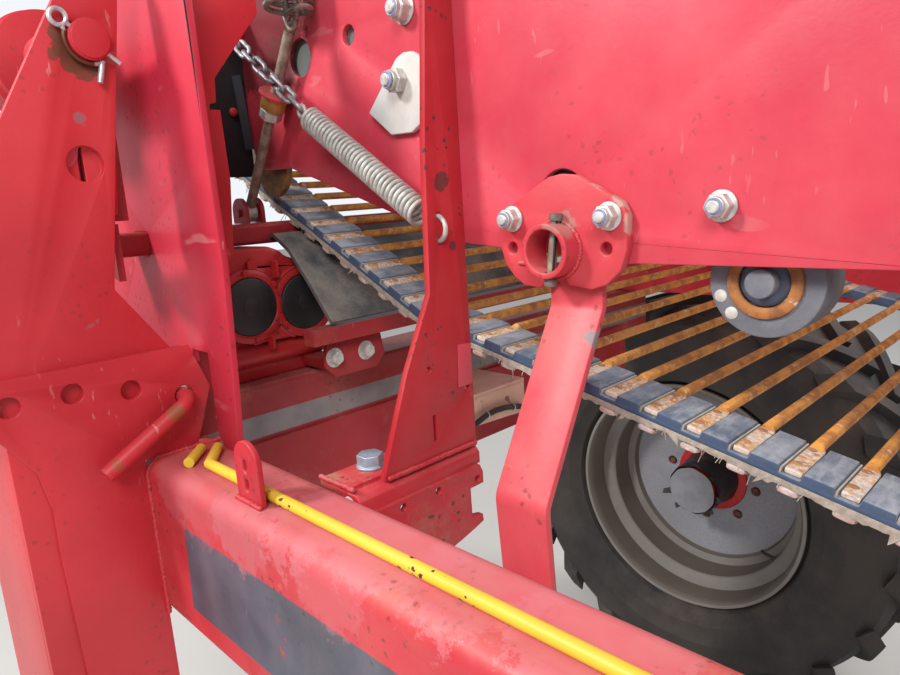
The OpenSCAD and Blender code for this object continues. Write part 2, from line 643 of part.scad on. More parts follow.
// the tyre is a shell with slanting lugs, cut to the crown
module tyre() color([0.10, 0.10, 0.11]) translate([wheel_x, wheel_y, wheel_z]) rotate([-90, 0, 0]) {
  rotate_extrude($fn = 96) polygon(concat(
    [[rim_r - 11 + weld, 48], [rim_r + 2, 46], [rim_r + 12, 26], [rim_r + 44, 8], [rim_r + 90, 0], [tyre_r - 66, 12],
     [tyre_r - 42, 28], [tread_r, 62], [tread_r + 3, tyre_w / 2], [tread_r, tyre_w - 62], [tyre_r - 42, tyre_w - 28],
     [tyre_r - 66, tyre_w - 12], [rim_r + 90, tyre_w], [rim_r + 44, tyre_w - 8], [rim_r + 12, tyre_w - 26],
     [rim_r + 2, tyre_w - 46], [rim_r - 11 + weld, tyre_w - 48]],
    [[rim_r - 11 + weld, tyre_w - 72], [rim_r + 24, tyre_w - 60], [rim_r + 60, tyre_w - 34], [rim_r + 92, tyre_w - 26],
     [tyre_r - 84, tyre_w - 38], [tread_r - 30, tyre_w - 70], [tread_r - 26, tyre_w / 2], [tread_r - 30, 70],
     [tyre_r - 84, 38], [rim_r + 92, 26], [rim_r + 60, 34], [rim_r + 24, 60], [rim_r - 11 + weld, 72]]));
  intersection() {
    rotate_extrude($fn = 96) polygon([[tread_r - 12, 70], [tyre_r - 66, 22], [tyre_r - 64, 4], [tyre_r - 34, 8],
      [tyre_r - 6, 26], [tyre_r, 70], [tyre_r, tyre_w - 70], [tyre_r - 6, tyre_w - 26], [tyre_r - 34, tyre_w - 8],
      [tyre_r - 64, tyre_w - 4], [tyre_r - 66, tyre_w - 22], [tread_r - 12, tyre_w - 70]]);
    union() for (i = [0 : lug_n - 1]) for (s = [0, 1]) rotate([0, 0, (i + s * 0.5) * 360 / lug_n])
      translate([tyre_r - 80, 0, tyre_w / 2]) rotate([s * 180, 0, 0]) rotate([s == 0 ? 42 : -42, 0, 0])
        translate([0, -17, -14]) cube([90, 34, 290]);
  }
}

rail();
rail_flange();
yellow_rod();
rod_stub();
rail_tab();
pin_plate();
end_plate();
end_panel();
panel_flange();
end_rib();
pivot_pin();
pivot_boss();
linch_pin();
lock_pin();
cross_bar();
lower_beam();
beam_skirt();
dust_shelf();
foot_bracket();
foot_bolt();
post();
side_plate_near();
side_plate_far();
hole_liner();
curtain();
pivot_flange();
cross_bolt();
side_nuts();
arm();
cam_plate();
idlers_near();
idlers_far();
rear_idler();
front_roller();
rear_roller();
web_belts();
web_rods();
spring();
chain();
spring_lugs();
link_rod();
link_lug();
top_spring();
gearbox();
gear_caps();
gear_bracket();
tray_bar();
flap();
far_rail();
far_posts();
axle_beam();
axle_leg();
stub_axle();
hub();
rim();
tyre();
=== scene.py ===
# %% [markdown]
# # A sieving web section, dressed for a close view
# The solids of this machine part were modelled in OpenSCAD and packed as a fixed frame.
# This script gives them their paint, rust, rubber and dust, and adds what a solid modeller leaves
# out: wire coils, rounded sheet edges, weld beads, rivets, frayed canvas and nuts with nylon rings.
# The scene is in metres, and the helpers that make shapes take millimetres. X runs forward along
# the chassis rail, Y across the machine, Z up.

import math
import random
from math import cos, pi, radians, sin

import bmesh
import bpy
from mathutils import Matrix, Vector
from mathutils import noise as lumps


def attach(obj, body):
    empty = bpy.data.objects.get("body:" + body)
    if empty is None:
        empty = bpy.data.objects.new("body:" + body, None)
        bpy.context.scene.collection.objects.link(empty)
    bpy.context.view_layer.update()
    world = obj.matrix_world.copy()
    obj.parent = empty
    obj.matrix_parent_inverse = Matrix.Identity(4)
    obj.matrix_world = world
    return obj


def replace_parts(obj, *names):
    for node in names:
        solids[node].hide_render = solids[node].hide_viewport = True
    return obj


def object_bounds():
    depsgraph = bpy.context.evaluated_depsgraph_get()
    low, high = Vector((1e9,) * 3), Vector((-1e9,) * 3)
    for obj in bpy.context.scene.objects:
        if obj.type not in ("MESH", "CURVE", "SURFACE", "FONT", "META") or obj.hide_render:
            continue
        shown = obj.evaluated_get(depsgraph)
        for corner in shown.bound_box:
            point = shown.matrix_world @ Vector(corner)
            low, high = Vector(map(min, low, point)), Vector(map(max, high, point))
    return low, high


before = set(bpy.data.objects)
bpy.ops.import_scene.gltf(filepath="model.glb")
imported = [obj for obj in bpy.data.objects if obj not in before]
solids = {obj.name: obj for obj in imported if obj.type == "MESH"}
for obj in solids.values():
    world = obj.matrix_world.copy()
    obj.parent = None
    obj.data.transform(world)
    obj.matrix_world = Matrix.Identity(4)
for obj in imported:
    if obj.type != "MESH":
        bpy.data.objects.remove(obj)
cad_box = [list(corner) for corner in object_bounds()]
print("solids:", len(solids), "box:", [[round(v, 3) for v in c] for c in cad_box])

# %% [markdown]
# ## Camera
# The photograph was taken from beside the rail, looking back and across the machine. Its lens and
# its three angles were worked out from edges that are parallel on the real machine, so the camera is
# given by its three axes and not aimed at a target.

# %% Camera
scene = bpy.context.scene
scene.view_settings.view_transform = "Standard"
camera_at = Vector((-0.260, -0.317, 0.381))
camera_right = Vector((0.70491, 0.70656, -0.06219))
camera_up = Vector((-0.09961, 0.18543, 0.97760))
camera_back = Vector((0.70227, -0.68293, 0.20108))
LENS, SENSOR, NEAREST = 27.24, 36, 0.02
lens_data = bpy.data.cameras.new("view")
lens_data.lens, lens_data.sensor_width, lens_data.clip_start = LENS, SENSOR, NEAREST
view = bpy.data.objects.new("view", lens_data)
turn = Matrix((camera_right, camera_up, camera_back)).transposed().to_4x4()
view.matrix_world = Matrix.Translation(camera_at) @ turn
scene.collection.objects.link(view)
scene.camera = view
print("camera at", tuple(round(v, 3) for v in camera_at))

# %% [markdown]
# ## Shader maths that reads as maths
# A paint with dust, scratches and chips is a sum of masks. Wiring each Math node by hand hides the
# idea, so one small class wraps a socket: adding or multiplying two wires adds the node for it.
# The same class works for the node trees that make geometry, because they share the Math nodes.

# %% One class for wires
class Wire:
    """An output socket of a node tree, with the operators that masks need."""

    def __init__(self, tree, socket):
        self.tree, self.socket = tree, socket

    def math(self, operation, *others, first=None):
        values = [self if first is None else first, *others]
        return node(self.tree, "ShaderNodeMath", {"operation": operation}, dict(enumerate(values)))

    def __add__(self, other):
        return self.math("ADD", other)

    def __sub__(self, other):
        return self.math("SUBTRACT", other)

    def __rsub__(self, other):
        return self.math("SUBTRACT", self, first=other)

    def __mul__(self, other):
        return self.math("MULTIPLY", other)

    def __truediv__(self, other):
        return self.math("DIVIDE", other)

    def __gt__(self, other):
        return self.math("GREATER_THAN", other)

    def __lt__(self, other):
        return self.math("LESS_THAN", other)

    __radd__, __rmul__ = __add__, __mul__

    def between(self, low, high):
        """0 below low, 1 above high, smooth in the middle."""
        return node(self.tree, "ShaderNodeMapRange", {"interpolation_type": "SMOOTHSTEP"},
                    {"Value": self, "From Min": low, "From Max": high})


def node(tree, kind, settings=None, values=None, out=0):
    """Adds one node: its settings first, then a value or a wire for each named or numbered socket."""
    made = tree.nodes.new(kind)
    for key, value in (settings or {}).items():
        setattr(made, key, value)
    for key, value in (values or {}).items():
        slot = made.inputs[key]
        if isinstance(value, Wire):
            tree.links.new(value.socket, slot)
        else:
            slot.default_value = value
    return Wire(tree, made.outputs[out])


# %% Textures and mixes
def place(tree):
    return node(tree, "ShaderNodeTexCoord", out=3)


def facing(tree, axis):
    """How far the surface faces along one axis of the object, from -1 to 1."""
    normal = node(tree, "ShaderNodeTexCoord", out=1)
    return node(tree, "ShaderNodeSeparateXYZ", values={0: normal}, out="XYZ".index(axis))


def along(point, axis):
    return node(point.tree, "ShaderNodeSeparateXYZ", values={0: point}, out="XYZ".index(axis))


def stretch(point, x, y, z, turned=(0, 0, 0)):
    return node(point.tree, "ShaderNodeMapping",
                values={"Vector": point, "Scale": (x, y, z), "Rotation": turned})


def noise(point, scale, detail=3.0, rough=0.55):
    return node(point.tree, "ShaderNodeTexNoise",
                values={"Vector": point, "Scale": scale, "Detail": detail, "Roughness": rough})


def cells(point, scale):
    """The distance to the nearest of many scattered points."""
    return node(point.tree, "ShaderNodeTexVoronoi", values={"Vector": point, "Scale": scale})


def distance(point, centre):
    return node(point.tree, "ShaderNodeVectorMath", {"operation": "DISTANCE"}, {0: point, 1: centre}, out=1)


def near(point, centre, reach):
    """1 at a place on the object, fading to 0 at the given distance."""
    return 1 - distance(point, centre).between(reach * 0.35, reach)


def mix(mask, under, over):
    tree = mask.tree
    made = tree.nodes.new("ShaderNodeMix")
    made.data_type = "RGBA"
    for slot, value in ((made.inputs[0], mask), (made.inputs[6], under), (made.inputs[7], over)):
        if isinstance(value, Wire):
            tree.links.new(value.socket, slot)
        else:
            slot.default_value = (*value, 1) if len(value) == 3 else value
    return Wire(tree, made.outputs[2])


def skin(name):
    """A new material: its tree, its shader and the place on the object."""
    made = bpy.data.materials.new(name)
    made.use_nodes = True
    tree = made.node_tree
    return made, tree, tree.nodes["Principled BSDF"], place(tree)


def feed(shader, **sockets):
    """Feeds the shader by socket name, with underscores for blanks."""
    tree = shader.id_data
    for key, value in sockets.items():
        slot = shader.inputs[key.replace("_", " ")]
        if isinstance(value, Wire):
            tree.links.new(value.socket, slot)
        elif hasattr(value, "__len__") and len(value) == 3:
            slot.default_value = (*value, 1)
        else:
            slot.default_value = value


def relief(height, depth):
    """A bump from a height between 0 and 1, in metres of depth."""
    return node(height.tree, "ShaderNodeBump", values={"Height": height, "Distance": depth, "Strength": 1.0})


# %% [markdown]
# ## Red paint
# The machine is sprayed in one red. Years of dust lie on what faces up, stones have left dark
# specks and pale scratches, and where a spanner or a chain touched, grey primer or brown steel
# shows. Each of those is a mask: broad noise for the dust, stretched noise for scratches, and cells
# that are cut off near their middle for specks. Smears have a place, so they are points on the object.

# %% Paint
RED = (0.50, 0.018, 0.033)
DUST = (0.60, 0.30, 0.26)
EARTH = (0.36, 0.24, 0.15)
PRIMER = (0.20, 0.19, 0.20)
RUST = (0.26, 0.09, 0.03)
SPECK = (0.075, 0.035, 0.035)
GREASE = (0.16, 0.055, 0.030)
SCRATCH = (0.72, 0.42, 0.40)
CLAY = (0.46, 0.36, 0.30)
# A lighter red for the plates: partly cleaner paint, partly painted light for plates that the key lamp doesn't reach.
CLEAN_RED_WITH_PAINTED_LIGHT = (0.56, 0.027, 0.040)


def paint(name, colour=RED, dust=0.25, chips=0.5, scratches=0.5, earth=0.0, smears=(), bands=()):
    """Sprayed and weathered paint. Smears are (place, reach, colour, strength), bands are functions
    that give a mask and a colour."""
    made, tree, shader, p = skin(name)
    broad = noise(p, 4.0, 4)
    middle = noise(p, 22.0, 5, 0.6)
    fine = noise(p, 160.0, 3)
    top = facing(tree, "Z")
    dark, light = [c * 0.86 for c in colour], [min(1, c * 1.12) for c in colour]
    shade = mix(broad.between(0.3, 0.75), dark, light)
    for band in bands:
        mask, over = band(p, tree)
        shade = mix(mask, shade, over)
    lying = top.between(0.2, 0.95) * 0.9 + 0.35
    film = (middle * 0.6 + broad * 0.7 - 0.35).between(0.0, 0.7) * lying * dust
    shade = mix(film, shade, DUST)
    if earth:
        caked = (noise(p, 9.0, 6, 0.7) + fine * 0.25).between(0.62, 0.84) * lying * earth
        shade = mix(caked, shade, EARTH)
    lines = noise(stretch(p, 9, 150, 40, (0.5, 0.3, 0.2)), 1.0, 2).between(0.68, 0.72)
    other = noise(stretch(p, 130, 12, 30, (0.2, -0.5, 0.6)), 1.0, 2).between(0.69, 0.73)
    worn = noise(p, 7.0, 3).between(0.5, 0.62)
    shade = mix((lines + other) * worn * scratches * 0.5, shade, SCRATCH)
    spot = (0.22 - cells(p, 85.0) + (noise(p, 300.0, 3) - 0.5) * 0.7).between(0.0, 0.05)
    spot = spot * noise(p, 9.0, 3).between(0.50, 0.58) * chips
    shade = mix(spot, shade, SPECK)
    patch = noise(p, 34.0, 5, 0.65).between(0.69, 0.72) * noise(p, 5.0, 2).between(0.5, 0.6) * chips
    shade = mix(patch, shade, PRIMER)
    torn = noise(p, 75.0, 6, 0.8) * 1.9 - 1.38 if smears else None
    for centre, reach, over, strength in smears:
        ragged = (near(p, centre, reach) * 0.8 + torn).between(0.0, 0.12) * strength
        shade = mix(ragged, shade, over)
    feed(shader, Base_Color=shade, Roughness=0.38 + film * 0.35 + spot * 0.2 + fine * 0.08,
         Coat_Weight=0.08, Coat_Roughness=0.3, Specular_IOR_Level=0.32,
         Normal=relief(fine * 0.25 + middle * 0.4 + (1 - spot) * 0.4, 0.0006))
    return made


def stripe(mask_of, colour):
    """A band of another colour, worn thin by the same dust as the paint."""
    def band(p, tree):
        worn = noise(p, 26.0, 5, 0.7).between(0.66, 0.72)
        over = mix(noise(p, 11.0, 4).between(0.3, 0.7), colour, [c * 1.5 for c in colour])
        return mask_of(p, tree) * (1 - worn * 0.8), over
    return band


def inside(value, low, high, soft=0.0008):
    return value.between(low - soft, low + soft) * (1 - value.between(high - soft, high + soft))


def on_rail_side(p, tree):
    slanted_end = (along(p, "X") + along(p, "Z") * -0.08).between(-0.9776, -0.976)
    return inside(along(p, "Z"), -0.059, 0.043) * slanted_end * (facing(tree, "Y") * -1).between(0.8, 0.9)


def on_beam_front(p, tree):
    return inside(along(p, "Z"), 0.066, 0.098) * facing(tree, "X").between(0.8, 0.9)


BLUE_GREY, DARK_GREY = (0.036, 0.054, 0.080), (0.17, 0.17, 0.18)
rail_stripe, beam_stripe = stripe(on_rail_side, BLUE_GREY), stripe(on_beam_front, DARK_GREY)
print("bands:", 2)

# %% The reds, for kinds of wear, with lighter and darker copies as painted light and shade
DIRT, POWDER = (0.44, 0.12, 0.14), (0.58, 0.18, 0.205)
PIN_RUST = [((-1.035, -0.017, 0.155), 0.016, RUST, 0.8), ((-1.035, -0.088, 0.114), 0.012, RUST, 0.6)]
PLATE_MARKS = [
    ((-1.070, -0.064, 0.572), 0.017, GREASE, 0.85), ((-1.070, -0.061, 0.558), 0.022, GREASE, 0.9),
    ((-1.070, -0.055, 0.546), 0.022, GREASE, 0.9), ((-1.070, -0.045, 0.540), 0.022, GREASE, 0.85),
    ((-1.070, -0.033, 0.541), 0.017, GREASE, 0.8), ((-1.070, -0.072, 0.552), 0.012, GREASE, 0.8),
    ((-1.070, -0.058, 0.488), 0.011, PRIMER, 0.6), ((-1.070, -0.200, 0.196), 0.030, (0.42, 0.20, 0.16), 0.6)]
RAIL_DUST = [
    ((-0.990, -0.026, 0.100), 0.09, DIRT, 0.4), ((-0.930, -0.016, 0.100), 0.11, DIRT, 0.4),
    ((-0.850, -0.004, 0.100), 0.11, DIRT, 0.4), ((-0.760, 0.004, 0.100), 0.10, POWDER, 0.5),
    ((-0.670, 0.015, 0.100), 0.10, POWDER, 0.5), ((-0.580, 0.015, 0.100), 0.10, POWDER, 0.5),
    ((-0.480, 0.015, 0.100), 0.10, POWDER, 0.5), ((-0.840, -0.048, 0.096), 0.09, POWDER, 0.3),
    ((-0.700, -0.048, 0.096), 0.09, POWDER, 0.3)]
# Painted shade: two dark smears on the side plate's rear upper part stand in for the shade that falls there.
SIDE_PAINTED_SHADE = [((-1.150, 0.225, 0.640), 0.17, (0.10, 0.02, 0.022), 0.8),
              ((-1.120, 0.225, 0.560), 0.08, (0.13, 0.03, 0.03), 0.6)]
POST_CHIPS = [((-0.784, 0.194, 0.398), 0.016, SPECK, 0.8), ((-0.784, 0.205, 0.330), 0.008, SPECK, 0.8)]
ARM_CHIPS = [((-0.613, 0.215, 0.241), 0.016, PRIMER, 0.9), ((-0.612, 0.215, 0.226), 0.012, PRIMER, 0.9),
             ((-0.686, 0.140, 0.098), 0.016, PRIMER, 0.8)]
FLANGE_CLAY = [((-0.600, 0.222, 0.398), 0.030, CLAY, 0.7), ((-0.578, 0.222, 0.380), 0.030, CLAY, 0.7),
               ((-0.566, 0.222, 0.352), 0.026, CLAY, 0.6), ((-0.640, 0.203, 0.352), 0.026, (0.34, 0.20, 0.17), 0.6)]

red = paint("red_paint")
red_clean_with_painted_light = paint("red_paint_plates", CLEAN_RED_WITH_PAINTED_LIGHT, 0.12, 0.35, 0.6, smears=PIN_RUST)
red_pin = paint("red_paint_pin", CLEAN_RED_WITH_PAINTED_LIGHT, 0.08, 0.2, 0.3)
# The end plate's red is lighter for the same reason: painted light.
red_plate = paint("red_paint_end_plate", (0.58, 0.030, 0.042), 0.12, 0.3, 0.6, smears=PLATE_MARKS)
red_rail = paint("red_paint_rail", RED, 0.45, 0.5, 1.0, 0.25, RAIL_DUST, [rail_stripe])
red_beam = paint("red_paint_beam", (0.30, 0.014, 0.022), 0.5, earth=0.8, bands=[beam_stripe])
red_side = paint("red_paint_side", (0.58, 0.035, 0.070), 0.5, 0.25, 0.3, smears=SIDE_PAINTED_SHADE)
red_post = paint("red_paint_post", (0.45, 0.016, 0.026), 0.25, 1.0, smears=POST_CHIPS)
red_arm = paint("red_paint_arm", (0.60, 0.05, 0.075), 0.6, 0.5, 0.4, smears=ARM_CHIPS)
red_foot = paint("red_paint_foot", RED, 0.3, 0.8, earth=0.9)
# A darker copy of the red as painted shade, for parts that lie in shade inside the frame, with some earth on it.
red_painted_shade = paint("red_paint_with_painted_shade", (0.33, 0.014, 0.022), 0.2, 0.4, earth=0.5)
red_panel = paint("red_paint_panel", (0.54, 0.022, 0.052), 0.2, 0.4, 0.6)
# A lighter, pinker copy of the red as painted light, for the small plates in the slot's recess and on the post.
red_painted_light = paint("red_paint_painted_light", (0.62, 0.06, 0.09), 0.3, 0.2, 0.2)
red_hub = paint("red_paint_hub", (0.46, 0.012, 0.018), 0.15)
red_flange = paint("red_paint_flange", (0.56, 0.035, 0.055), 0.45, 0.4, 0.4, smears=FLANGE_CLAY)
# The dust shelf's pale red is partly dust and partly painted light, made lighter to stand in for sunlight on it.
red_dust_and_painted_light = paint("red_paint_dust_and_painted_light", (0.80, 0.50, 0.38), 0.6, 0.3, earth=0.25)
red_cast = paint("red_paint_casting", (0.47, 0.016, 0.022), 0.2, 1.0, earth=0.2)
print("paints:", len(bpy.data.materials))

# %% [markdown]
# ## Bare metal, rubber and the rest
# Galvanised steel is a mottled mid grey that is neither mirror nor paint. The web's rods were
# painted once and are now orange with bright rubbed streaks. Belt rubber is blue-grey on its blocks.

# %% Metals
def metal(name, light, dark, rough=0.4, scale=60.0, shine=0.9, grime=None, grime_amount=0.4, greasy=()):
    made, _, shader, p = skin(name)
    mottle = noise(p, scale, 4, 0.6)
    shade = mix(mottle.between(0.35, 0.65), dark, light)
    if grime:
        shade = mix(noise(p, scale * 0.35, 5, 0.7).between(0.5, 0.7) * grime_amount, shade, grime)
    for centre, reach in greasy:
        shade = mix(near(p, centre, reach).between(0.1, 0.35), shade, GREASE)
    feed(shader, Base_Color=shade, Metallic=shine, Roughness=rough + mottle * 0.2,
         Normal=relief(mottle, 0.0003))
    return made


zinc = metal("zinc", (0.62, 0.63, 0.62), (0.40, 0.41, 0.41), 0.32, 90, 0.85, (0.30, 0.26, 0.20), 0.35)
bright_zinc = metal("bright_zinc", (0.66, 0.66, 0.63), (0.46, 0.46, 0.43), 0.36, 120, 0.45, (0.38, 0.35, 0.31), 0.25)
clip_zinc = metal("clip_zinc", (0.68, 0.70, 0.72), (0.45, 0.46, 0.48), 0.32, 120, 0.6, greasy=[
    ((-1.060, -0.066, 0.560), 0.019), ((-1.060, -0.060, 0.548), 0.019), ((-1.060, -0.050, 0.541), 0.018)])
blue_zinc = metal("blue_zinc", (0.46, 0.56, 0.66), (0.34, 0.42, 0.52), 0.35, 60, 0.6, (0.45, 0.38, 0.32), 0.3)
spring_zinc = metal("spring_zinc", (0.56, 0.56, 0.53), (0.40, 0.40, 0.37), 0.42, 120, 0.3, (0.22, 0.18, 0.13), 0.4)
upper_zinc = metal("upper_zinc", (0.34, 0.32, 0.28), (0.22, 0.20, 0.17), 0.42, 120, 0.4, (0.18, 0.13, 0.09), 0.5)
chain_steel = metal("chain_steel", (0.42, 0.41, 0.44), (0.20, 0.19, 0.21), 0.38, 110, 0.6)
rod_steel = metal("old_steel", (0.36, 0.31, 0.25), (0.20, 0.16, 0.12), 0.5, 70, 0.4, (0.24, 0.12, 0.06), 0.5)
roller_steel = metal("roller_steel", (0.36, 0.35, 0.34), (0.16, 0.13, 0.11), 0.5, 30, 0.7, RUST, 0.6)
brass = metal("brass_collar", (0.55, 0.33, 0.08), (0.40, 0.23, 0.05), 0.45, 60, 0.35)
casting = metal("light_casting", (0.66, 0.67, 0.65), (0.55, 0.56, 0.54), 0.6, 14, 0.0, (0.44, 0.36, 0.29), 0.4)


def marked(tree, name):
    """A number that a piece's own mesh carries at each point."""
    return node(tree, "ShaderNodeAttribute", {"attribute_name": name}, out="Fac")


def rusty(name, orange, brown, pale):
    """Rust that a rod wears: orange all over, brown pits and pale rubbed places. Forged ends have
    bare patches and a pale rim."""
    made, tree, shader, p = skin(name)
    coarse = noise(p, 45.0, 5, 0.65)
    grain = noise(p, 260.0, 4, 0.6)
    shade = mix(coarse.between(0.38, 0.62), brown, orange)
    shade = mix((noise(p, 75.0, 5, 0.7) + grain * 0.2).between(0.68, 0.78), shade, pale)
    rubbed = noise(p, 130.0, 4, 0.6)
    bare = (noise(p, 14.0, 3, 0.5) * 0.7 + noise(p, 210.0, 4, 0.7) * 1.3 - 0.86).between(0.0, 0.20)
    bright = mix(grain.between(0.4, 0.6), (0.42, 0.33, 0.28), (0.60, 0.50, 0.43))
    shade = mix(marked(tree, "pad") * bare, shade, bright)
    shade = mix(marked(tree, "rim") * rubbed.between(0.3, 0.5) * 0.8, shade, (0.60, 0.56, 0.50))
    feed(shader, Base_Color=shade, Roughness=0.85 - coarse * 0.25,
         Normal=relief(coarse * 0.5 + grain * 0.5, 0.0008))
    return made


dusty_steel = metal("dusty_steel", (0.24, 0.20, 0.18), (0.13, 0.10, 0.09), 0.7, 150, 0.1, (0.30, 0.24, 0.20), 0.6)
rod_rust = rusty("rod_rust", (0.64, 0.27, 0.045), (0.36, 0.13, 0.025), (0.62, 0.46, 0.28))
pad_rust = rusty("pad_rust", (0.40, 0.16, 0.04), (0.22, 0.08, 0.03), (0.50, 0.46, 0.38))
stud_rust = rusty("stud_rust", (0.15, 0.06, 0.03), (0.05, 0.03, 0.025), (0.20, 0.16, 0.13))
disc_rust = rusty("disc_rust", (0.26, 0.13, 0.035), (0.12, 0.07, 0.03), (0.30, 0.24, 0.14))


def wheel_grey(name, axle):
    """A blue-grey disc inside a stepped rim of dusty brown, painted lighter where its faces turn sideways and darker
    on its round faces, as painted light and shade.
    """
    made, tree, shader, p = skin(name)
    gap = distance(stretch(p, 1, 0, 1), axle)
    grain = noise(p, 180.0, 4, 0.7)
    cloud = noise(p, 7.0, 5, 0.6)
    # Painted light and shade: faces turned towards -Y get the lighter colour, the round faces the darker brown.
    walls = mix((facing(tree, "Y") * -1).between(0.3, 0.95), (0.105, 0.088, 0.072), (0.215, 0.200, 0.185))
    walls = mix(cloud.between(0.35, 0.7) * 0.5, walls, (0.15, 0.13, 0.11))
    disc = mix(grain.between(0.3, 0.7), (0.235, 0.240, 0.275), (0.30, 0.305, 0.34))
    disc = mix(cloud.between(0.45, 0.75) * 0.3, disc, (0.22, 0.20, 0.19))
    feed(shader, Base_Color=mix(1 - gap.between(0.222, 0.227), walls, disc),
         Roughness=0.6 + cloud * 0.2, Normal=relief(grain, 0.0004))
    return made


grey_rim = wheel_grey("grey_rim", (-1.030, 0.0, -0.412))
grey_end = metal("grey_end", (0.25, 0.255, 0.28), (0.20, 0.205, 0.225), 0.6, 30, 0.1)


def rubber(name, colour, dusty, dust=0.4, rough=0.75, scale=18.0, side=None):
    """Rubber with dust on what faces up, and another colour on its sides when that is given."""
    made, tree, shader, p = skin(name)
    cloud = noise(p, scale, 5, 0.6)
    grain = noise(p, 300.0, 3)
    top = facing(tree, "Z").between(-0.2, 0.9) * 0.6 + 0.4
    film = (cloud + grain * 0.2).between(0.42, 0.8) * dust * top
    shade = mix(film, colour, dusty)
    if side:
        brushed = noise(stretch(p, 160, 30, 90, (0.3, 0.2, 0.6)), 1.0, 3).between(0.45, 0.75) * top * 0.5
        shade = mix(brushed, shade, dusty)
        shade = mix((facing(tree, "Y") * -1).between(0.6, 0.9) * 0.85, shade, side)
    feed(shader, Base_Color=shade, Roughness=rough + film * 0.2,
         Normal=relief(cloud * 0.5 + grain * 0.4, 0.0006))
    return made


block_rubber = rubber("block_rubber", (0.075, 0.100, 0.150), (0.36, 0.37, 0.40), 0.75, side=(0.030, 0.060, 0.125))
idler_rubber = rubber("idler_rubber", (0.13, 0.14, 0.17), (0.34, 0.33, 0.34), 0.6, scale=40)
black_rubber = rubber("black_rubber", (0.012, 0.013, 0.014), (0.09, 0.08, 0.075), 0.5, 0.5)
tyre_rubber = rubber("tyre_rubber", (0.020, 0.019, 0.019), (0.14, 0.11, 0.09), 0.6, 0.8, 7.0)
sheet_rubber = rubber("sheet_rubber", (0.045, 0.050, 0.062), (0.25, 0.23, 0.20), 1.0, 0.6, 11.0)
fold_rubber = rubber("fold_rubber", (0.030, 0.042, 0.055), (0.07, 0.08, 0.09), 0.5, 0.6, 12.0)
curtain_rubber = rubber("curtain_rubber", (0.010, 0.009, 0.011), (0.05, 0.045, 0.05), 0.3, 0.6, 12.0)
liner_grey = rubber("liner_grey", (0.11, 0.125, 0.120), (0.17, 0.18, 0.17), 0.5, 0.8, 30.0)
canvas = rubber("canvas", (0.27, 0.235, 0.195), (0.52, 0.46, 0.38), 1.0, 0.95, 140.0)
yellow = paint("yellow_paint", colour=(0.72, 0.50, 0.035), dust=0.15, chips=1.0, scratches=0.2)
hole_dark = rubber("shadow_black", (0.006, 0.005, 0.005), (0.03, 0.02, 0.02), 0.3)
cap_rubber = rubber("cap_rubber", (0.055, 0.075, 0.12), (0.20, 0.22, 0.27), 0.6, 0.6, 60)
pipe_black = rubber("pipe_black", (0.012, 0.012, 0.014), (0.10, 0.10, 0.12), 0.3, 0.35, 60)
wrap_black = rubber("wrap_black", (0.010, 0.010, 0.012), (0.10, 0.09, 0.09), 0.35, 0.35, 30)
rivet_head = rusty("rivet_head", (0.42, 0.22, 0.09), (0.26, 0.12, 0.05), (0.55, 0.48, 0.42))
under_metal = rusty("under_plate", (0.52, 0.46, 0.44), (0.40, 0.26, 0.20), (0.66, 0.62, 0.62))
ledge_rubber = rubber("ledge_rubber", (0.30, 0.28, 0.24), (0.46, 0.42, 0.36), 0.8, 0.8, 60)
pale_disc = metal("pale_disc", (0.66, 0.66, 0.62), (0.50, 0.48, 0.44), 0.6, 80, 0.2)
nylon = rubber("nylon_ring", (0.25, 0.33, 0.55), (0.4, 0.42, 0.5), 0.3, 0.4)
print("materials:", len(bpy.data.materials))

# %% [markdown]
# ## Finishes on the solids
# Half of the solids keep their own mesh and only get their material. The imported meshes have loose
# triangles, which is fine for flat and round walls. The other solids get a copy further down.

# %% Dress the solids
FINISH = {
    red_rail: ["rail"], red_side: ["side_plate_far"], red_beam: ["lower_beam"],
    red_painted_shade: ["cross_bar", "beam_skirt", "tray_bar", "link_lug", "end_rib"],
    red_clean_with_painted_light: ["pivot_boss", "lock_pin"],
    red: ["spring_lugs", "far_rail", "far_posts", "axle_beam", "axle_leg"],
    yellow: ["yellow_rod", "rod_stub"], clip_zinc: ["linch_pin"], zinc: ["stub_axle"],
    idler_rubber: ["idlers_far"], disc_rust: ["rear_idler"],
    roller_steel: ["front_roller", "rear_roller"], sheet_rubber: ["flap"], curtain_rubber: ["curtain"],
    liner_grey: ["hole_liner"], tyre_rubber: ["tyre"]}
for finish, names in FINISH.items():
    for name in names:
        solid = solids[name]
        solid.data.materials.clear()
        solid.data.materials.append(finish)
print("dressed:", sum(len(n) for n in FINISH.values()), "of", len(solids))

# %% [markdown]
# ## Rounded sheet edges
# Cut and folded sheet never has a knife edge, and the thin bright line along an edge is what makes
# paint look thick. The solids themselves stay as they are: a copy of each near one is cleaned,
# gets a small bevel and is shown instead of the solid.

# %% Copies with rounded edges
BODY = {name: "wheel" if name in ("hub", "rim", "tyre") else "frame" for name in solids}


def smooth(mesh, angle=34):
    mesh.polygons.foreach_set("use_smooth", [True] * len(mesh.polygons))
    mesh.set_sharp_from_angle(angle=radians(angle))


def keep(name, mesh, finish, body="frame"):
    """Adds a finished mesh as a piece that rides on a body."""
    mesh.materials.clear()
    mesh.materials.append(finish)
    piece = bpy.data.objects.new(name, mesh)
    scene.collection.objects.link(piece)
    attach(piece, body)
    return piece


def evaluated(carrier, name):
    """The plain mesh of an object after its modifier."""
    made = bpy.data.meshes.new_from_object(carrier.evaluated_get(bpy.context.evaluated_depsgraph_get()))
    made.name = name
    return made


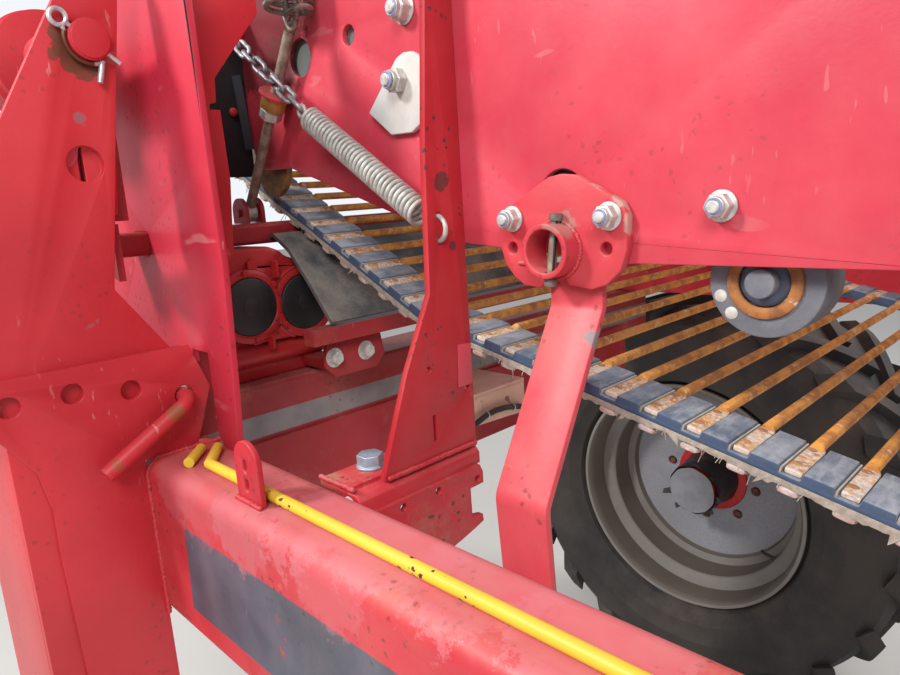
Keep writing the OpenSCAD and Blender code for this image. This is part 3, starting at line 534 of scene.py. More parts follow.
def baked(name, mesh, kind, **settings):
    """The mesh after one modifier, as a plain mesh."""
    carrier = bpy.data.objects.new(name + "_work", mesh)
    scene.collection.objects.link(carrier)
    modifier = carrier.modifiers.new("step", kind)
    for key, value in settings.items():
        setattr(modifier, key, value)
    made = evaluated(carrier, name)
    bpy.data.objects.remove(carrier)
    return made


def cleaned(name):
    """The solid's mesh in place, with its loose triangles joined and its flat faces merged."""
    solid = solids[name]
    mesh = solid.data.copy()
    mesh.transform(solid.matrix_world)
    work = bmesh.new()
    work.from_mesh(mesh)
    bmesh.ops.remove_doubles(work, verts=work.verts, dist=2e-5)
    bmesh.ops.dissolve_limit(work, angle_limit=0.01, verts=work.verts, edges=work.edges)
    work.to_mesh(mesh)
    work.free()
    return mesh


def rounded(name, width, finish):
    made = baked(name + "_rounded", cleaned(name), "BEVEL", width=width, segments=2,
                 limit_method="ANGLE", angle_limit=radians(38), use_clamp_overlap=False,
                 miter_outer="MITER_ARC")
    smooth(made)
    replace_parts(keep(name + "_rounded", made, finish, BODY[name]), name)


ROUNDED = {
    "pin_plate": (0.0009, red_clean_with_painted_light), "end_plate": (0.0009, red_plate), "end_panel": (0.0009, red_panel),
    "panel_flange": (0.0009, red_clean_with_painted_light), "pivot_pin": (0.0006, red_pin), "post": (0.0008, red_post),
    "foot_bracket": (0.0009, red_foot), "side_plate_near": (0.0009, red_side),
    "pivot_flange": (0.0012, red_flange), "arm": (0.0015, red_arm), "rim": (0.0010, grey_rim),
    "hub": (0.0015, red_hub), "rail_tab": (0.0012, red), "rail_flange": (0.0020, red),
    "side_nuts": (0.0008, bright_zinc), "foot_bolt": (0.0010, blue_zinc),
    "web_belts": (0.0012, block_rubber), "gear_bracket": (0.0010, red_painted_shade),
    "dust_shelf": (0.0008, red_dust_and_painted_light), "idlers_near": (0.0012, idler_rubber),
    "gear_caps": (0.0020, black_rubber), "gearbox": (0.0030, red_cast)}
for name, (width, finish) in ROUNDED.items():
    rounded(name, width, finish)
print("rounded copies:", len(ROUNDED))

# %% [markdown]
# ## Wire, rod and cord from a path
# Springs, hooks, chain links and hoses are one idea: a round section carried along a path. The
# path is a chain of points, and a node tree sweeps a circle along it. Radius and sides are named
# inputs, so the same tree serves a spring's 5 mm wire and a thread of less than 1 mm.

# %% A tree that sweeps a circle
def tree_for(label, inputs):
    """A geometry tree with named inputs. Returns it with a wire for each input."""
    tree = bpy.data.node_groups.new(label, "GeometryNodeTree")
    for name, kind in inputs.items():
        tree.interface.new_socket(name, in_out="INPUT", socket_type="NodeSocket" + kind)
    tree.interface.new_socket("Result", in_out="OUTPUT", socket_type="NodeSocketGeometry")
    start = tree.nodes.new("NodeGroupInput")
    return tree, {name: Wire(tree, start.outputs[name]) for name in inputs}


def close(tree, geometry, finish):
    """Ends a geometry tree: real meshes with their material."""
    real = node(tree, "GeometryNodeRealizeInstances", values={"Geometry": geometry})
    painted = node(tree, "GeometryNodeSetMaterial", values={"Geometry": real, "Material": finish})
    end = tree.nodes.new("NodeGroupOutput")
    tree.links.new(painted.socket, end.inputs[0])
    return tree


def grown(name, mesh, group, **inputs):
    """The plain mesh that a geometry tree makes from a mesh."""
    carrier = bpy.data.objects.new(name + "_work", mesh)
    scene.collection.objects.link(carrier)
    modifier = carrier.modifiers.new("grow", "NODES")
    modifier.node_group = group
    for item in group.interface.items_tree:
        if item.name in inputs:
            modifier[item.identifier] = inputs[item.name]
    made = evaluated(carrier, name)
    carrier.modifiers.remove(modifier)
    bpy.data.objects.remove(carrier)
    return made


sweep, into = tree_for("sweep", {"Path": "Geometry", "Radius": "Float", "Sides": "Int", "Finish": "Material"})
ring = node(sweep, "GeometryNodeCurvePrimitiveCircle",
            values={"Resolution": into["Sides"], "Radius": into["Radius"]})
path = node(sweep, "GeometryNodeMeshToCurve", values={"Mesh": into["Path"]})
wire = node(sweep, "GeometryNodeCurveToMesh",
            values={"Curve": path, "Profile Curve": ring, "Fill Caps": True})
close(sweep, node(sweep, "GeometryNodeSetShadeSmooth", values={"Geometry": wire}), into["Finish"])


def wires(name, paths, radius, finish, sides=10, body="frame"):
    """One piece made of round wires. A path is a list of points, and it is closed if its last point
    is its first."""
    points, edges = [], []
    for line in paths:
        closed = (Vector(line[0]) - Vector(line[-1])).length < 1e-6
        base, count = len(points), len(line) - (1 if closed else 0)
        points += [Vector(p) / 1000 for p in line[:count]]
        edges += [(base + i, base + i + 1) for i in range(count - 1)]
        if closed:
            edges.append((base + count - 1, base))
    mesh = bpy.data.meshes.new(name)
    mesh.from_pydata(points, edges, [])
    made = grown(name, mesh, sweep, Radius=radius / 1000, Sides=sides, Finish=finish)
    smooth(made, 50)
    return keep(name, made, finish, body)


def arc_points(centre, across, up, radius, start, end, steps=16):
    """Points of an arc in degrees, in the plane of two unit vectors."""
    centre, across, up = Vector(centre), Vector(across), Vector(up)
    turns = [radians(start + (end - start) * i / steps) for i in range(steps + 1)]
    return [centre + across * cos(t) * radius + up * sin(t) * radius for t in turns]


# %% Springs with their hooks
def coil_points(foot, axis, side, radius, length, turns, steps=22):
    foot, axis, side = Vector(foot), Vector(axis).normalized(), Vector(side)
    other = axis.cross(side)
    count, full = turns * steps, 2 * pi
    return [foot + axis * length * i / count
            + (side * cos(full * i / steps) + other * sin(full * i / steps)) * radius
            for i in range(count + 1)]


Y = Vector((0, 1, 0))
SPRING_LEAN, LINK_LEAN, CHAIN_LEAN = radians(57.4), radians(35.3), radians(37)
foot, axis = Vector((-809, 187, 364)), Vector((-sin(SPRING_LEAN), 0, cos(SPRING_LEAN)))
across = axis.cross(Y)
hook = Vector((-788, 187, 349.5))
back_to = (foot - axis * 4 - hook).normalized()
up = Y.cross(back_to)
path = arc_points(hook, back_to, up, 13.5, 325, 8, 30) + [foot - axis * 2, foot + axis * 1.5 + Y * 6]
path += coil_points(foot + axis * 2.5, axis, Y, 13, 226, 32)
top = foot + axis * 248
path += [foot + axis * 230 + Y * 7, foot + axis * 233] + arc_points(top, -axis, across, 7, 12, 335, 20)
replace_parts(wires("spring_wire", [path], 2.7, spring_zinc, 12), "spring")

eye = Vector((-1210 + 286 * sin(LINK_LEAN), 203, 377 + 286 * cos(LINK_LEAN)))
foot = Vector((-1029, 190, 618))
path = arc_points(eye + Vector((0, 0, 13)), (0, 0, -1), (1, 0, 0), 15, -140, 165, 24)
path += [eye + Vector((-4, -3, 27)), foot + Vector((-6, 2, -1)), foot + Vector((12, 0, 0))]
path += coil_points(foot, (0, 0, 1), (1, 0, 0), 27.5, 66, 7, 28)
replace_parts(wires("upper_spring_wire", [path], 3.4, upper_zinc, 12), "top_spring")
print("springs: 2")

# %% Chain
axis = Vector((-cos(CHAIN_LEAN), 0, sin(CHAIN_LEAN)))
LINKS, CHAIN_LENGTH = 9, 192
links = []
for i in range(LINKS):
    centre = Vector((-1030, 187, 508)) + axis * CHAIN_LENGTH * i / (LINKS - 1)
    twist = radians(40 + 90 * (i % 2) + 13 * i)
    side = Y * cos(twist) + axis.cross(Y) * sin(twist)
    half = arc_points(centre + axis * 8, side, axis, 7, 0, 180, 12)
    half += arc_points(centre - axis * 8, side, axis, 7, 180, 360, 12)
    links.append(half + [half[0]])
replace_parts(wires("chain_links", links, 3.1, chain_steel, 10), "chain")
print("chain links:", len(links))

# %% [markdown]
# ## The web's rods, pads and rivets
# Each rod is a round bar whose ends are forged flat and riveted to the two belts. One rod is lofted
# as a chain of sections that go from a flat oval to a circle, and a node tree sets it down once for
# each place on the loop. The loop is the same path as in the solids: four straight runs, a bend
# under the middle and a half turn at each end.

# %% The loop's path
FRONT, BEND, REAR = (-80, 160), (-850, 334), (-1270, 545)
REACH, RODS, WIDTH = 104, 72, 1306
low = math.atan2(BEND[1] - FRONT[1], FRONT[0] - BEND[0])
high = math.atan2(REAR[1] - BEND[1], BEND[0] - REAR[0])
front_run, rear_run = math.dist(FRONT, BEND), math.dist(BEND, REAR)
cut = REACH * math.tan((high - low) / 2)
MARKS = [front_run]
for part in (REACH * (high - low), rear_run, pi * REACH, rear_run - cut, front_run - cut, pi * REACH):
    MARKS.append(MARKS[-1] + part)
PITCH = MARKS[-1] / RODS


def on_loop(s, r):
    """Place on the loop: s along it and r out from its middle line, with the outward angle."""
    s %= MARKS[-1]
    if s < MARKS[0]:
        x, z, n = FRONT[0] - s * cos(low), FRONT[1] + s * sin(low), -pi / 2 - low
    elif s < MARKS[1]:
        x, z, n = *BEND, -pi / 2 - low - (s - MARKS[0]) / REACH
    elif s < MARKS[2]:
        gone = s - MARKS[1]
        x, z, n = BEND[0] - gone * cos(high), BEND[1] + gone * sin(high), -pi / 2 - high
    elif s < MARKS[3]:
        x, z, n = *REAR, -pi / 2 - high - (s - MARKS[2]) / REACH
    elif s < MARKS[4]:
        gone = s - MARKS[3]
        x, z, n = REAR[0] + gone * cos(high), REAR[1] - gone * sin(high), pi / 2 - high
    elif s < MARKS[5]:
        gone = s - MARKS[4] + cut
        x, z, n = BEND[0] + gone * cos(low), BEND[1] - gone * sin(low), pi / 2 - low
    else:
        x, z, n = *FRONT, pi / 2 - low - (s - MARKS[5]) / REACH
    return x + r * cos(n), z + r * sin(n), n


print("loop:", round(MARKS[-1]), "mm, pitch", round(PITCH, 2))

# %% One rod, lofted
SECTION_POINTS = 16


def section(y, thick, wide, centre, square, shift=0.0):
    """Points of a rounded section at y: thick is along the loop's normal, wide along its path."""
    ring = []
    for i in range(SECTION_POINTS):
        t = 2 * pi * i / SECTION_POINTS
        out, ahead = (math.copysign(abs(v) ** square, v) for v in (cos(t), sin(t)))
        ring.append((centre + thick * out, y, shift + wide * ahead))
    return ring


def tube_faces(rows, around):
    """Four-cornered faces between neighbouring rings of a tube."""
    return [(k * around + i, k * around + (i + 1) % around, (k + 1) * around + (i + 1) % around, (k + 1) * around + i)
            for k in range(rows - 1) for i in range(around)]


def lofted(name, rings):
    """A closed mesh through rings of points, with a face on its first and its last ring."""
    mesh = bpy.data.meshes.new(name)
    size = len(rings[0])
    faces = tube_faces(len(rings), size)
    faces += [tuple(range(size))[::-1], tuple((len(rings) - 1) * size + i for i in range(size))]
    mesh.from_pydata([Vector(p) / 1000 for ring in rings for p in ring], [], faces)
    return mesh


HALF_ROD = [(246.6, 1.7, 6.3, -3.0, 0.35, 1.3), (247.2, 2.4, 7.0, -3.0, 0.3, 1.3),
            (251, 2.4, 7.2, -3.0, 0.28, 1.3), (303, 2.4, 7.2, -3.0, 0.28, 1.3),
            (307, 2.7, 7.0, -3.0, 0.4, 1.0), (309.5, 3.9, 6.3, -3.6, 0.7, 0.4),
            (311.5, 5.3, 5.6, -4.3, 0.95, 0.0), (480, 5.5, 5.5, -4.5, 1.0, 0.0)]
rings = [section(*row) for row in HALF_ROD] + [section(WIDTH - y, *row) for y, *row in reversed(HALF_ROD)]
rod = lofted("rod", rings)


def mark(mesh, label, test):
    made = mesh.attributes.new(label, "FLOAT", "POINT")
    made.data.foreach_set("value", [1.0 if test(point.co * 1000) else 0.0 for point in mesh.vertices])


mark(rod, "pad", lambda p: p.y < 307 or p.y > 999)
mark(rod, "rim", lambda p: p.y < 248.2 or p.y > 1057.8 or (abs(p.z - 1.3) > 6.9 and (p.y < 303 or p.y > 1003)))
print("rod rings:", len(rings))

# %% A tree that sets a piece down on every point
repeat, into = tree_for("repeat", {"Places": "Geometry", "Piece": "Object", "Finish": "Material"})
turned = node(repeat, "GeometryNodeInputNamedAttribute", {"data_type": "FLOAT_VECTOR"}, {"Name": "turn"})
shape = node(repeat, "GeometryNodeObjectInfo", values={"Object": into["Piece"]}, out="Geometry")
laid = node(repeat, "GeometryNodeInstanceOnPoints",
            values={"Points": into["Places"], "Instance": shape, "Rotation": turned})
close(repeat, laid, into["Finish"])


def repeated(name, mesh, places, finish, body="frame", angle=40):
    """Copies of a mesh at (point in mm, turn) as one piece."""
    one = bpy.data.objects.new(name + "_one", mesh)
    scene.collection.objects.link(one)
    spots = bpy.data.meshes.new(name)
    spots.from_pydata([Vector(p) / 1000 for p, turn in places], [], [])
    turns = spots.attributes.new("turn", "FLOAT_VECTOR", "POINT")
    turns.data.foreach_set("vector", [v for p, turn in places for v in turn])
    made = grown(name, spots, repeat, Piece=one, Finish=finish)
    bpy.data.objects.remove(one)
    smooth(made, angle)
    return keep(name, made, finish, body)


spots = []
for i in range(RODS):
    x, z, n = on_loop(i * PITCH, REACH - 2)
    spots.append(((x, 0, z), (0, -n, 0)))
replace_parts(repeated("forged_rods", rod, spots, rod_rust), "web_rods")


def dome(name, radius, height, sides=14, point=(0, 0, 0), turn=(0, 0, 0)):
    """A low round head standing on its base, its axis along Z before the turn."""
    profile = [(1.0, 0.0), (0.97, 0.35), (0.80, 0.72), (0.45, 0.94), (0.0, 1.0)]
    return spun(name, [(radius * r, height * h) for r, h in profile], sides, point, turn)


def spun(name, profile, sides=32, point=(0, 0, 0), turn=(0, 0, 0)):
    """A profile of (radius, height) spun round Z, then turned and moved."""
    points = []
    for r, h in profile:
        for i in range(sides):
            t = 2 * pi * i / sides
            points.append(Vector((r * cos(t), r * sin(t), h)))
    mesh = bpy.data.meshes.new(name)
    mesh.from_pydata([p / 1000 for p in points], [], tube_faces(len(profile), sides))
    work = bmesh.new()
    work.from_mesh(mesh)
    bmesh.ops.remove_doubles(work, verts=work.verts, dist=1e-6)
    bmesh.ops.recalc_face_normals(work, faces=work.faces)
    work.to_mesh(mesh)
    work.free()
    mesh.transform(Matrix.Translation(Vector(point) / 1000) @ euler(turn))
    return mesh


def euler(turn):
    return Matrix.Rotation(turn[2], 4, "Z") @ Matrix.Rotation(turn[1], 4, "Y") @ Matrix.Rotation(turn[0], 4, "X")


TO_NEAR, TO_FRONT = (pi / 2, 0, 0), (0, pi / 2, 0)
heads = []
for i in range(RODS):
    x, z, n = on_loop(i * PITCH + 1.3, REACH - 7.2)
    for y in (263, 300, 1006, 1043):
        heads.append(((x, y, z), (0, -n - pi / 2, 0)))
repeated("rivet_heads", dome("rivet", 4.6, 0.9), heads, rivet_head)
LEDGE_ENDS, LEDGE = (244.5, 310), (2.6, 0.9, -2.8, 0.4, -8.0)
ledge = lofted("ledge", [section(y, *LEDGE) for y in LEDGE_ENDS])
repeated("pad_ledges", ledge, spots, ledge_rubber)
UNDER = ((241.4, 0.55), (242.4, 0.85), (246, 1.0), (300, 1.0), (306, 0.7))
under = lofted("under", [section(y, 3.4 * k, 9.5 * k, 13.4, 0.55, 2.2) for y, k in UNDER])
clear_of_front = [place for place in spots if place[0][0] < 0]
repeated("under_plates", under, clear_of_front, under_metal)
ledge = lofted("ledge_far", [section(WIDTH - y, *LEDGE) for y in reversed(LEDGE_ENDS)])
repeated("pad_ledges_far", ledge, spots, ledge_rubber)
print("rods:", RODS, "rivets:", len(heads))

# %% [markdown]
# ## Frayed canvas on the belt's edge
# The belt is rubber on woven canvas. Along the side that rubs, the canvas shows as a beige strip
# with a torn lower edge, and loose threads hang from it. The strip is a ribbon round the loop whose
# outer edge wanders, and the threads are short wires that droop.

# %% Canvas and threads
random.seed(7)
RIBBON_STEPS, THREADS_HANGING, TEARS = 900, 120, 16


def wander(s, seed):
    """A smooth unevenness along the loop, from -1 to 1."""
    long, middle, short = sin(s * 0.021 + seed), sin(s * 0.057 + seed * 2.3), sin(s * 0.141 + seed * 5.1)
    return (long + middle * 0.7 + short * 0.5) / 2.2


def rags(name, corners, thickness, finish, body="frame"):
    """Thin four-cornered scraps, from a flat list of their corners."""
    mesh = bpy.data.meshes.new(name)
    faces = [tuple(range(k, k + 4)) for k in range(0, len(corners), 4)]
    mesh.from_pydata([p / 1000 for p in corners], [], faces)
    return keep(name, baked(name, mesh, "SOLIDIFY", thickness=thickness, offset=0.0), finish, body)


def canvas_ribbon(name, y, outward):
    """A strip round the loop on one side of a belt."""
    points = []
    for i in range(RIBBON_STEPS):
        s = MARKS[-1] * i / RIBBON_STEPS
        torn = 2.6 if wander(s * 3.1, 2.2) > 0.62 else 0
        edge = 112.3 + 1.8 * wander(s, 1.7) + random.uniform(-0.9, 0.9) + torn
        for r, out in ((106.2, 0.2), (109.0, 0.7), (edge, 0.4 + 0.9 * wander(s * 1.7, 4.0))):
            x, z, _ = on_loop(s, r)
            points.append(Vector((x, y + outward * out, z)) / 1000)
    faces = []
    for i in range(RIBBON_STEPS):
        here, there = i * 3, (i + 1) % RIBBON_STEPS * 3
        faces += [(here + k, there + k, there + k + 1, here + k + 1) for k in range(2)]
    mesh = bpy.data.meshes.new(name)
    mesh.from_pydata(points, [], faces)
    made = baked(name, mesh, "SOLIDIFY", thickness=0.0007, offset=0.0)
    smooth(made, 60)
    return keep(name, made, canvas)


canvas_ribbon("canvas_near", 242.6, -1)
canvas_ribbon("canvas_far", 1063.4, 1)
threads = []
for i in range(THREADS_HANGING):
    s = random.uniform(20, MARKS[2])
    x, z, _ = on_loop(s, 110)
    length = random.uniform(2, 8) if i % 9 else random.uniform(9, 15)
    lean, out = random.uniform(-0.8, 0.8), random.uniform(-0.5, 0.2)
    threads.append([(x + lean * length * t, 242.4 + out * length * t, z - length * t * (0.5 + 0.5 * t))
                    for t in (0, 0.3, 0.6, 0.8, 1.0)])
wires("canvas_threads", threads, 0.42, canvas, 4)
tears = []
for i in range(TEARS):
    s = MARKS[2] * (i + random.uniform(0.2, 0.8)) / TEARS
    x, z, _ = on_loop(s, 111)
    lean, size = random.choice((-1, 1)) * random.uniform(4, 9), random.uniform(0.6, 1.2)
    tears += [Vector((x - 5 * size, 241.9, z + 2)), Vector((x + 6 * size, 241.9, z + 2)),
              Vector((x + lean + 1.0, 241.0, z - 6 * size)), Vector((x + lean * 1.4, 240.6, z - 8 * size))]
rags("canvas_tears", tears, 0.0006, canvas)
print("threads:", len(threads), "tears:", TEARS)

# %% [markdown]
# ## The small linkage and the cast plate
# The link rod carries a nut, a collar and a disc of different metals, so each is a turned
# profile of its own: a list of (radius, height) pairs spun round the rod's axis. With six
# sides the same spin makes a hexagon. The cast plate is an outline given a thickness.

# %% Link rod with its nut, collar and disc
ROD_FOOT, ROD_LEAN = Vector((-1210, 203, 377)), (0, radians(35.3), 0)
ahead = Vector((sin(ROD_LEAN[1]), 0, cos(ROD_LEAN[1])))


def on_rod(distance):
    return tuple(ROD_FOOT + ahead * distance)


def lathe(name, profile, sides, at, turn, finish, angle=34):
    """A spun profile, kept as a piece. Without an angle its faces stay flat."""
    mesh = spun(name, profile, sides, at, turn)
    if angle:
        smooth(mesh, angle)
    return keep(name, mesh, finish)


bar = wires("link_rod_bar", [[on_rod(d) for d in (0, 90, 180, 274)]], 7, rod_steel, 24)
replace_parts(bar, "link_rod")
loop = arc_points(eye, (1, 0, 0), (0, 0, 1), 9.5, 0, 360, 24)
wires("link_rod_eye", [loop[:-1] + [loop[0]]], 3.4, rod_steel, 14)
lathe("link_nut", [(7, 0), (13.5, 0.6), (15.2, 2.2), (15.2, 13), (13.5, 15), (7, 15.6)],
      6, on_rod(152), ROD_LEAN, bright_zinc, 20)
lathe("link_collar", [(7, 0), (16.6, 0), (17, 0.6), (17, 16.8), (16.2, 17.5), (7, 17.5)],
      36, on_rod(168.2), ROD_LEAN, brass)
lathe("link_disc", [(7, 0), (21.4, 0), (22, 0.8), (22, 3.6), (21, 4.6), (7, 5)],
      40, on_rod(186), ROD_LEAN, red_flange)
lathe("link_spacer", [(7, -8), (13, -8), (14, -7), (14, 7), (13, 8), (7, 8)],
      28, ROD_FOOT, TO_NEAR, bright_zinc)
print("link rod done")

# %% Cast plate and its nut
def plate(name, outline, level, thick, edge, finish, axis="Y"):
    """A flat plate from an outline, with rounded edges. The outline is (x, z) for a plate across Y
    and (y, z) for one across X."""
    def put(u, v, w):
        return (u, w, v) if axis == "Y" else (w, u, v)
    mesh = lofted(name, [[put(u, v, w) for u, v in outline] for w in (level, level + thick)])
    work = bmesh.new()
    work.from_mesh(mesh)
    bmesh.ops.recalc_face_normals(work, faces=work.faces)
    work.to_mesh(mesh)
    work.free()
    made = baked(name, mesh, "BEVEL", width=edge / 1000, segments=2, limit_method="ANGLE",
                 angle_limit=radians(38))
    smooth(made)
    return keep(name, made, finish)


CAM = [(-924, 485), (-886, 456), (-850, 455), (-832, 464), (-815, 500), (-821, 520), (-831, 534),
       (-843, 540), (-856, 541), (-868, 537), (-878, 528)]
CAM_BOLT_X, CAM_BOLT_Z, CAM_NUT_FLATS = -864, 512, 24
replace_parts(plate("cam_outline", CAM, 217, 8, 2.2, casting), "cam_plate")
nut_radius = CAM_NUT_FLATS / 2 / cos(pi / 6)
lathe("cam_nut", [(nut_radius, 0), (nut_radius, 11), (12.4, 12), (0, 12)],
      6, (CAM_BOLT_X, 217, CAM_BOLT_Z), TO_NEAR, bright_zinc, None)
lathe("cam_barrel", [(10.4, 0), (10.4, 4.6), (9.6, 5.4), (6.4, 5.6)],
      28, (CAM_BOLT_X, 205.2, CAM_BOLT_Z), TO_NEAR, bright_zinc)
print("cast plate done")

# %% Cross pin in the pivot tube
pin_end, pin_way = Vector((-653, 203, 294)), Vector((4, 6, 65)).normalized()


def on_pin(distance):
    return pin_end + pin_way * distance


pin = wires("cross_pin", [[on_pin(d) for d in (0, 33, 65.5)]], 4.4, rod_steel, 20)
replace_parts(pin, "cross_bolt")
pin_ends = [[on_pin(-1.5), on_pin(5)], [on_pin(60), on_pin(67)]]
wires("cross_pin_ends", pin_ends, 6.2, dusty_steel, 14)
groove = [on_pin(d) + Vector((3.6, -2.4, 0)) for d in (6, 60)]
wires("cross_pin_slot", [groove], 1.3, hole_dark, 8)
print("cross pin done")

# %% Small plates and the casting behind
def across_x(name, outline, xs):
    """The mesh of a plate across X, from its (y, z) outline and its two faces."""
    return lofted(name, [[(x, y, z) for y, z in outline] for x in xs])


HOUSING = [(96, 262), (96, 300), (103, 322), (125, 330), (180, 330), (199, 322), (206, 314),
           (228, 306), (240, 290), (240, 262)]
made = baked("housing", across_x("housing", HOUSING, (-1126, -1205)), "BEVEL", width=0.005, segments=3,
             limit_method="ANGLE", angle_limit=radians(20))
smooth(made)
keep("gear_housing", made, red_cast)

# Painted shade and light among the thin plates: corner_plate and slot_shadow wear the darker red as painted shade,
# slot_shadow being a dark backing that stands in for the shade behind the slot; recess_corner wears the lighter red
# as painted light.
THIN_PLATES = {
    "corner_plate": ([(22, 101), (66, 101), (66, 216), (22, 216)], (-1085, -1088), red_painted_shade, "red_paint"),
    "curtain_fold": ([(202, 572), (215, 574), (223, 470), (210, 468)], (-1211.7, -1209), fold_rubber, "belt_rubber"),
    "recess_corner": ([(-79, 436), (-75.5, 454), (-68, 461.5), (-58.5, 463), (-61.2, 456), (-63.1, 447.6),
                       (-69.9, 439)], (-1079.4, -1080.6), red_painted_light, "red_paint"),
    "slot_shadow": ([(-114, 378), (-16, 378), (-16, 505), (-114, 505)], (-1089, -1090), red_painted_shade, "red_paint")}
for name, (outline, xs, finish, slot) in THIN_PLATES.items():
    keep(name, across_x(name, outline, xs), finish)
seam = [(-974.2, 29.8, 600), (-974.2, 31.2, 520), (-974.2, 32.4, 440), (-974.2, 33.9, 367)]
wires("panel_seam", [seam], 0.9, hole_dark, 8)
# post_patch is a thin plate in the lighter red, as painted light on the post.
plate("post_patch", [(200, 172), (223.5, 172), (223.5, 219), (203, 221)], -784, 1.2, 0.4,
      red_painted_light, "X")
print("thin plates:", len(THIN_PLATES))

# %% [markdown]
# ## Nuts, studs and washers
# A locking nut shows three things: a washer, a hexagon with a rounded top, and a nylon ring
# round the end of the stud. The hexagons are in the solids; rings, studs and their threads are added.

# %% Rings and studs on the side plate's nuts
FASTENERS = [(-706, 215, 356, 19), (-595, 215, 356, 19), (-498, 225, 361, 19), (-856, 225, 586, 24),
             (CAM_BOLT_X, 217, CAM_BOLT_Z, CAM_NUT_FLATS)]
THREADS, THREAD_PITCH = 7, 0.9
for number, (x, y, z, flats) in enumerate(FASTENERS):
    top = y - 2.5 - flats * 0.72
    rows = [(flats * 0.27, 0)]
    for k in range(THREADS):
        rows += [(flats * 0.245, k * THREAD_PITCH), (flats * 0.27, k * THREAD_PITCH + 0.45)]
    rows += [(flats * 0.22, 6.6), (0, 6.8)]
    lathe(f"stud_{number}", rows, 20, (x, top + 3, z), TO_NEAR, bright_zinc, None)
    rows = [(flats * 0.28, -1.2), (flats * 0.285, 0.6), (flats * 0.36, 1.0), (flats * 0.385, 0.2),
            (flats * 0.385, -1.2)]
    lathe(f"nylon_{number}", rows, 28, (x, top, z), TO_NEAR, nylon)
print("studs:", len(FASTENERS))

# %% [markdown]
# ## Weld beads
# A weld is a row of small overlapping puddles. Each bead is a path that is walked in even steps,
# with a flattened ball set down at each step, a little off line, as a hand does it.

# %% Beads
def walked(path, step):
    """Points at even steps along a path, with the direction at each."""
    out, left = [], 0.0
    for a, b in zip(path, path[1:]):
        a, b = Vector(a), Vector(b)
        span = (b - a).length
        while left <= span:
            out.append((a + (b - a) * left / span, (b - a).normalized()))
            left += step
        left -= span
    return out


def bead(name, path, radius, finish):
    ball = [(0, -0.75), (0.6, -0.62), (0.92, -0.3), (1.0, 0.0), (0.92, 0.3), (0.6, 0.62), (0, 0.75)]
    blob = spun(name + "_blob", ball, 10)
    blob.transform(Matrix.Scale(radius, 4))
    places = []
    for point, ahead in walked(path, radius * 0.62):
        tilt = ahead.to_track_quat("Z", "Y").to_euler()
        wobble = [random.uniform(-0.13, 0.13) * radius for _ in range(3)]
        turn = (tilt.x + random.uniform(-0.15, 0.15), tilt.y + random.uniform(-0.15, 0.15), tilt.z)
        places.append((point + Vector(wobble), turn))
    return repeated(name, blob, places, finish, angle=70)


def polar(radius, degrees):
    return radius * cos(radians(degrees)), radius * sin(radians(degrees))


rail_bend = [(-1059, -30 + dy, 80 + dz) for dy, dz in (polar(20.5, t) for t in range(180, 82, -8))]
rail_end = ([(-1059, -50.5, z) for z in (-96, -40, 20, 80)] + rail_bend
            + [(-1059, y, 100.5) for y in (-10, 20, 44)])
tube_ring = [(-653 + dx, 214.2, 326 + dz) for dx, dz in (polar(27, t) for t in range(0, 361, 10))]
BEADS = [
    ("weld_rail_end", rail_end, 3.2, red),
    ("weld_tab", [(-873, -31, 101), (-827, -31, 101)], 2.8, red),
    ("weld_post_foot", [(-783.2, 92, 100.8), (-783.2, 223, 100.8)], 3.0, red_foot),
    ("weld_bracket_rail", [(-846, 50.5, 101.5), (-790, 50.5, 101.5)], 3.0, red_rail),
    ("weld_tube", tube_ring, 2.3, red_flange),
    ("weld_arm_top", [(-699, 214, 312), (-684, 214, 313)], 2.2, red_arm),
    ("weld_panel", [(-1072, -35, 105), (-1072, -10, 105)], 2.5, red_clean_with_painted_light)]
for row in BEADS:
    bead(*row)
print("beads:", len(BEADS))

# %% [markdown]
# ## Bolts on castings, the idler's cap and the pipe
# Hexagon heads are spun with six sides and a small chamfer. They go on the gearbox round its
# caps, on its bracket and on the wheel's disc.

# %% Hexagon heads
def hexagon(name, across, height, washer=0.0):
    """A chamfered head along Z, base at 0, on a flat washer when given its radius."""
    radius = across / 2 / cos(pi / 6)
    head = spun(name, [(radius, 0), (radius, height * 0.86), (radius * 0.90, height), (0, height)], 6)
    if washer:
        disc = spun(name, [(washer, -2.2), (washer, -0.3), (washer - 0.5, 0), (0, 0)], 28)
        work = bmesh.new()
        work.from_mesh(head)
        work.from_mesh(disc)
        work.to_mesh(head)
        work.free()
    return head


CAPS = [(139, 250), (227, 245)]
LIP = [(40.5, 0.1), (41.0, 1.6), (43.0, 2.6), (46.5, 2.4), (51.3, 0.2)]
PLUG = [(0, 4.0), (11, 4.0), (12, 3.5), (12, 2.6)]
RIBS = [(183, 297, 26), (100, 205, 20), (165, 196, 24)]
repeated("curtain_bolt", dome("bolt_dome", 6.5, 5.0), [((-1211.7, 198, 522), TO_FRONT)],
         red_cast, angle=60)
repeated("housing_bolt", hexagon("housing_bolt", 15, 5, 12), [((-1125.8, 150, 306), TO_FRONT)],
         red_cast, angle=30)
spots = [((-1119.6, y + dy, z + dz), TO_FRONT)
         for y, z in CAPS for dy, dz in (polar(47, t) for t in range(35, 336, 60))]
repeated("gearbox_bolts", hexagon("gear_bolt", 8, 4.5), spots, red_cast, angle=30)
spots = [((-1041.6, 215.7, 171.5), TO_FRONT), ((-1041.6, 271.3, 171.1), TO_FRONT)]
repeated("bracket_bolts", hexagon("bracket_bolt", 17, 10, 14), spots, bright_zinc, angle=30)
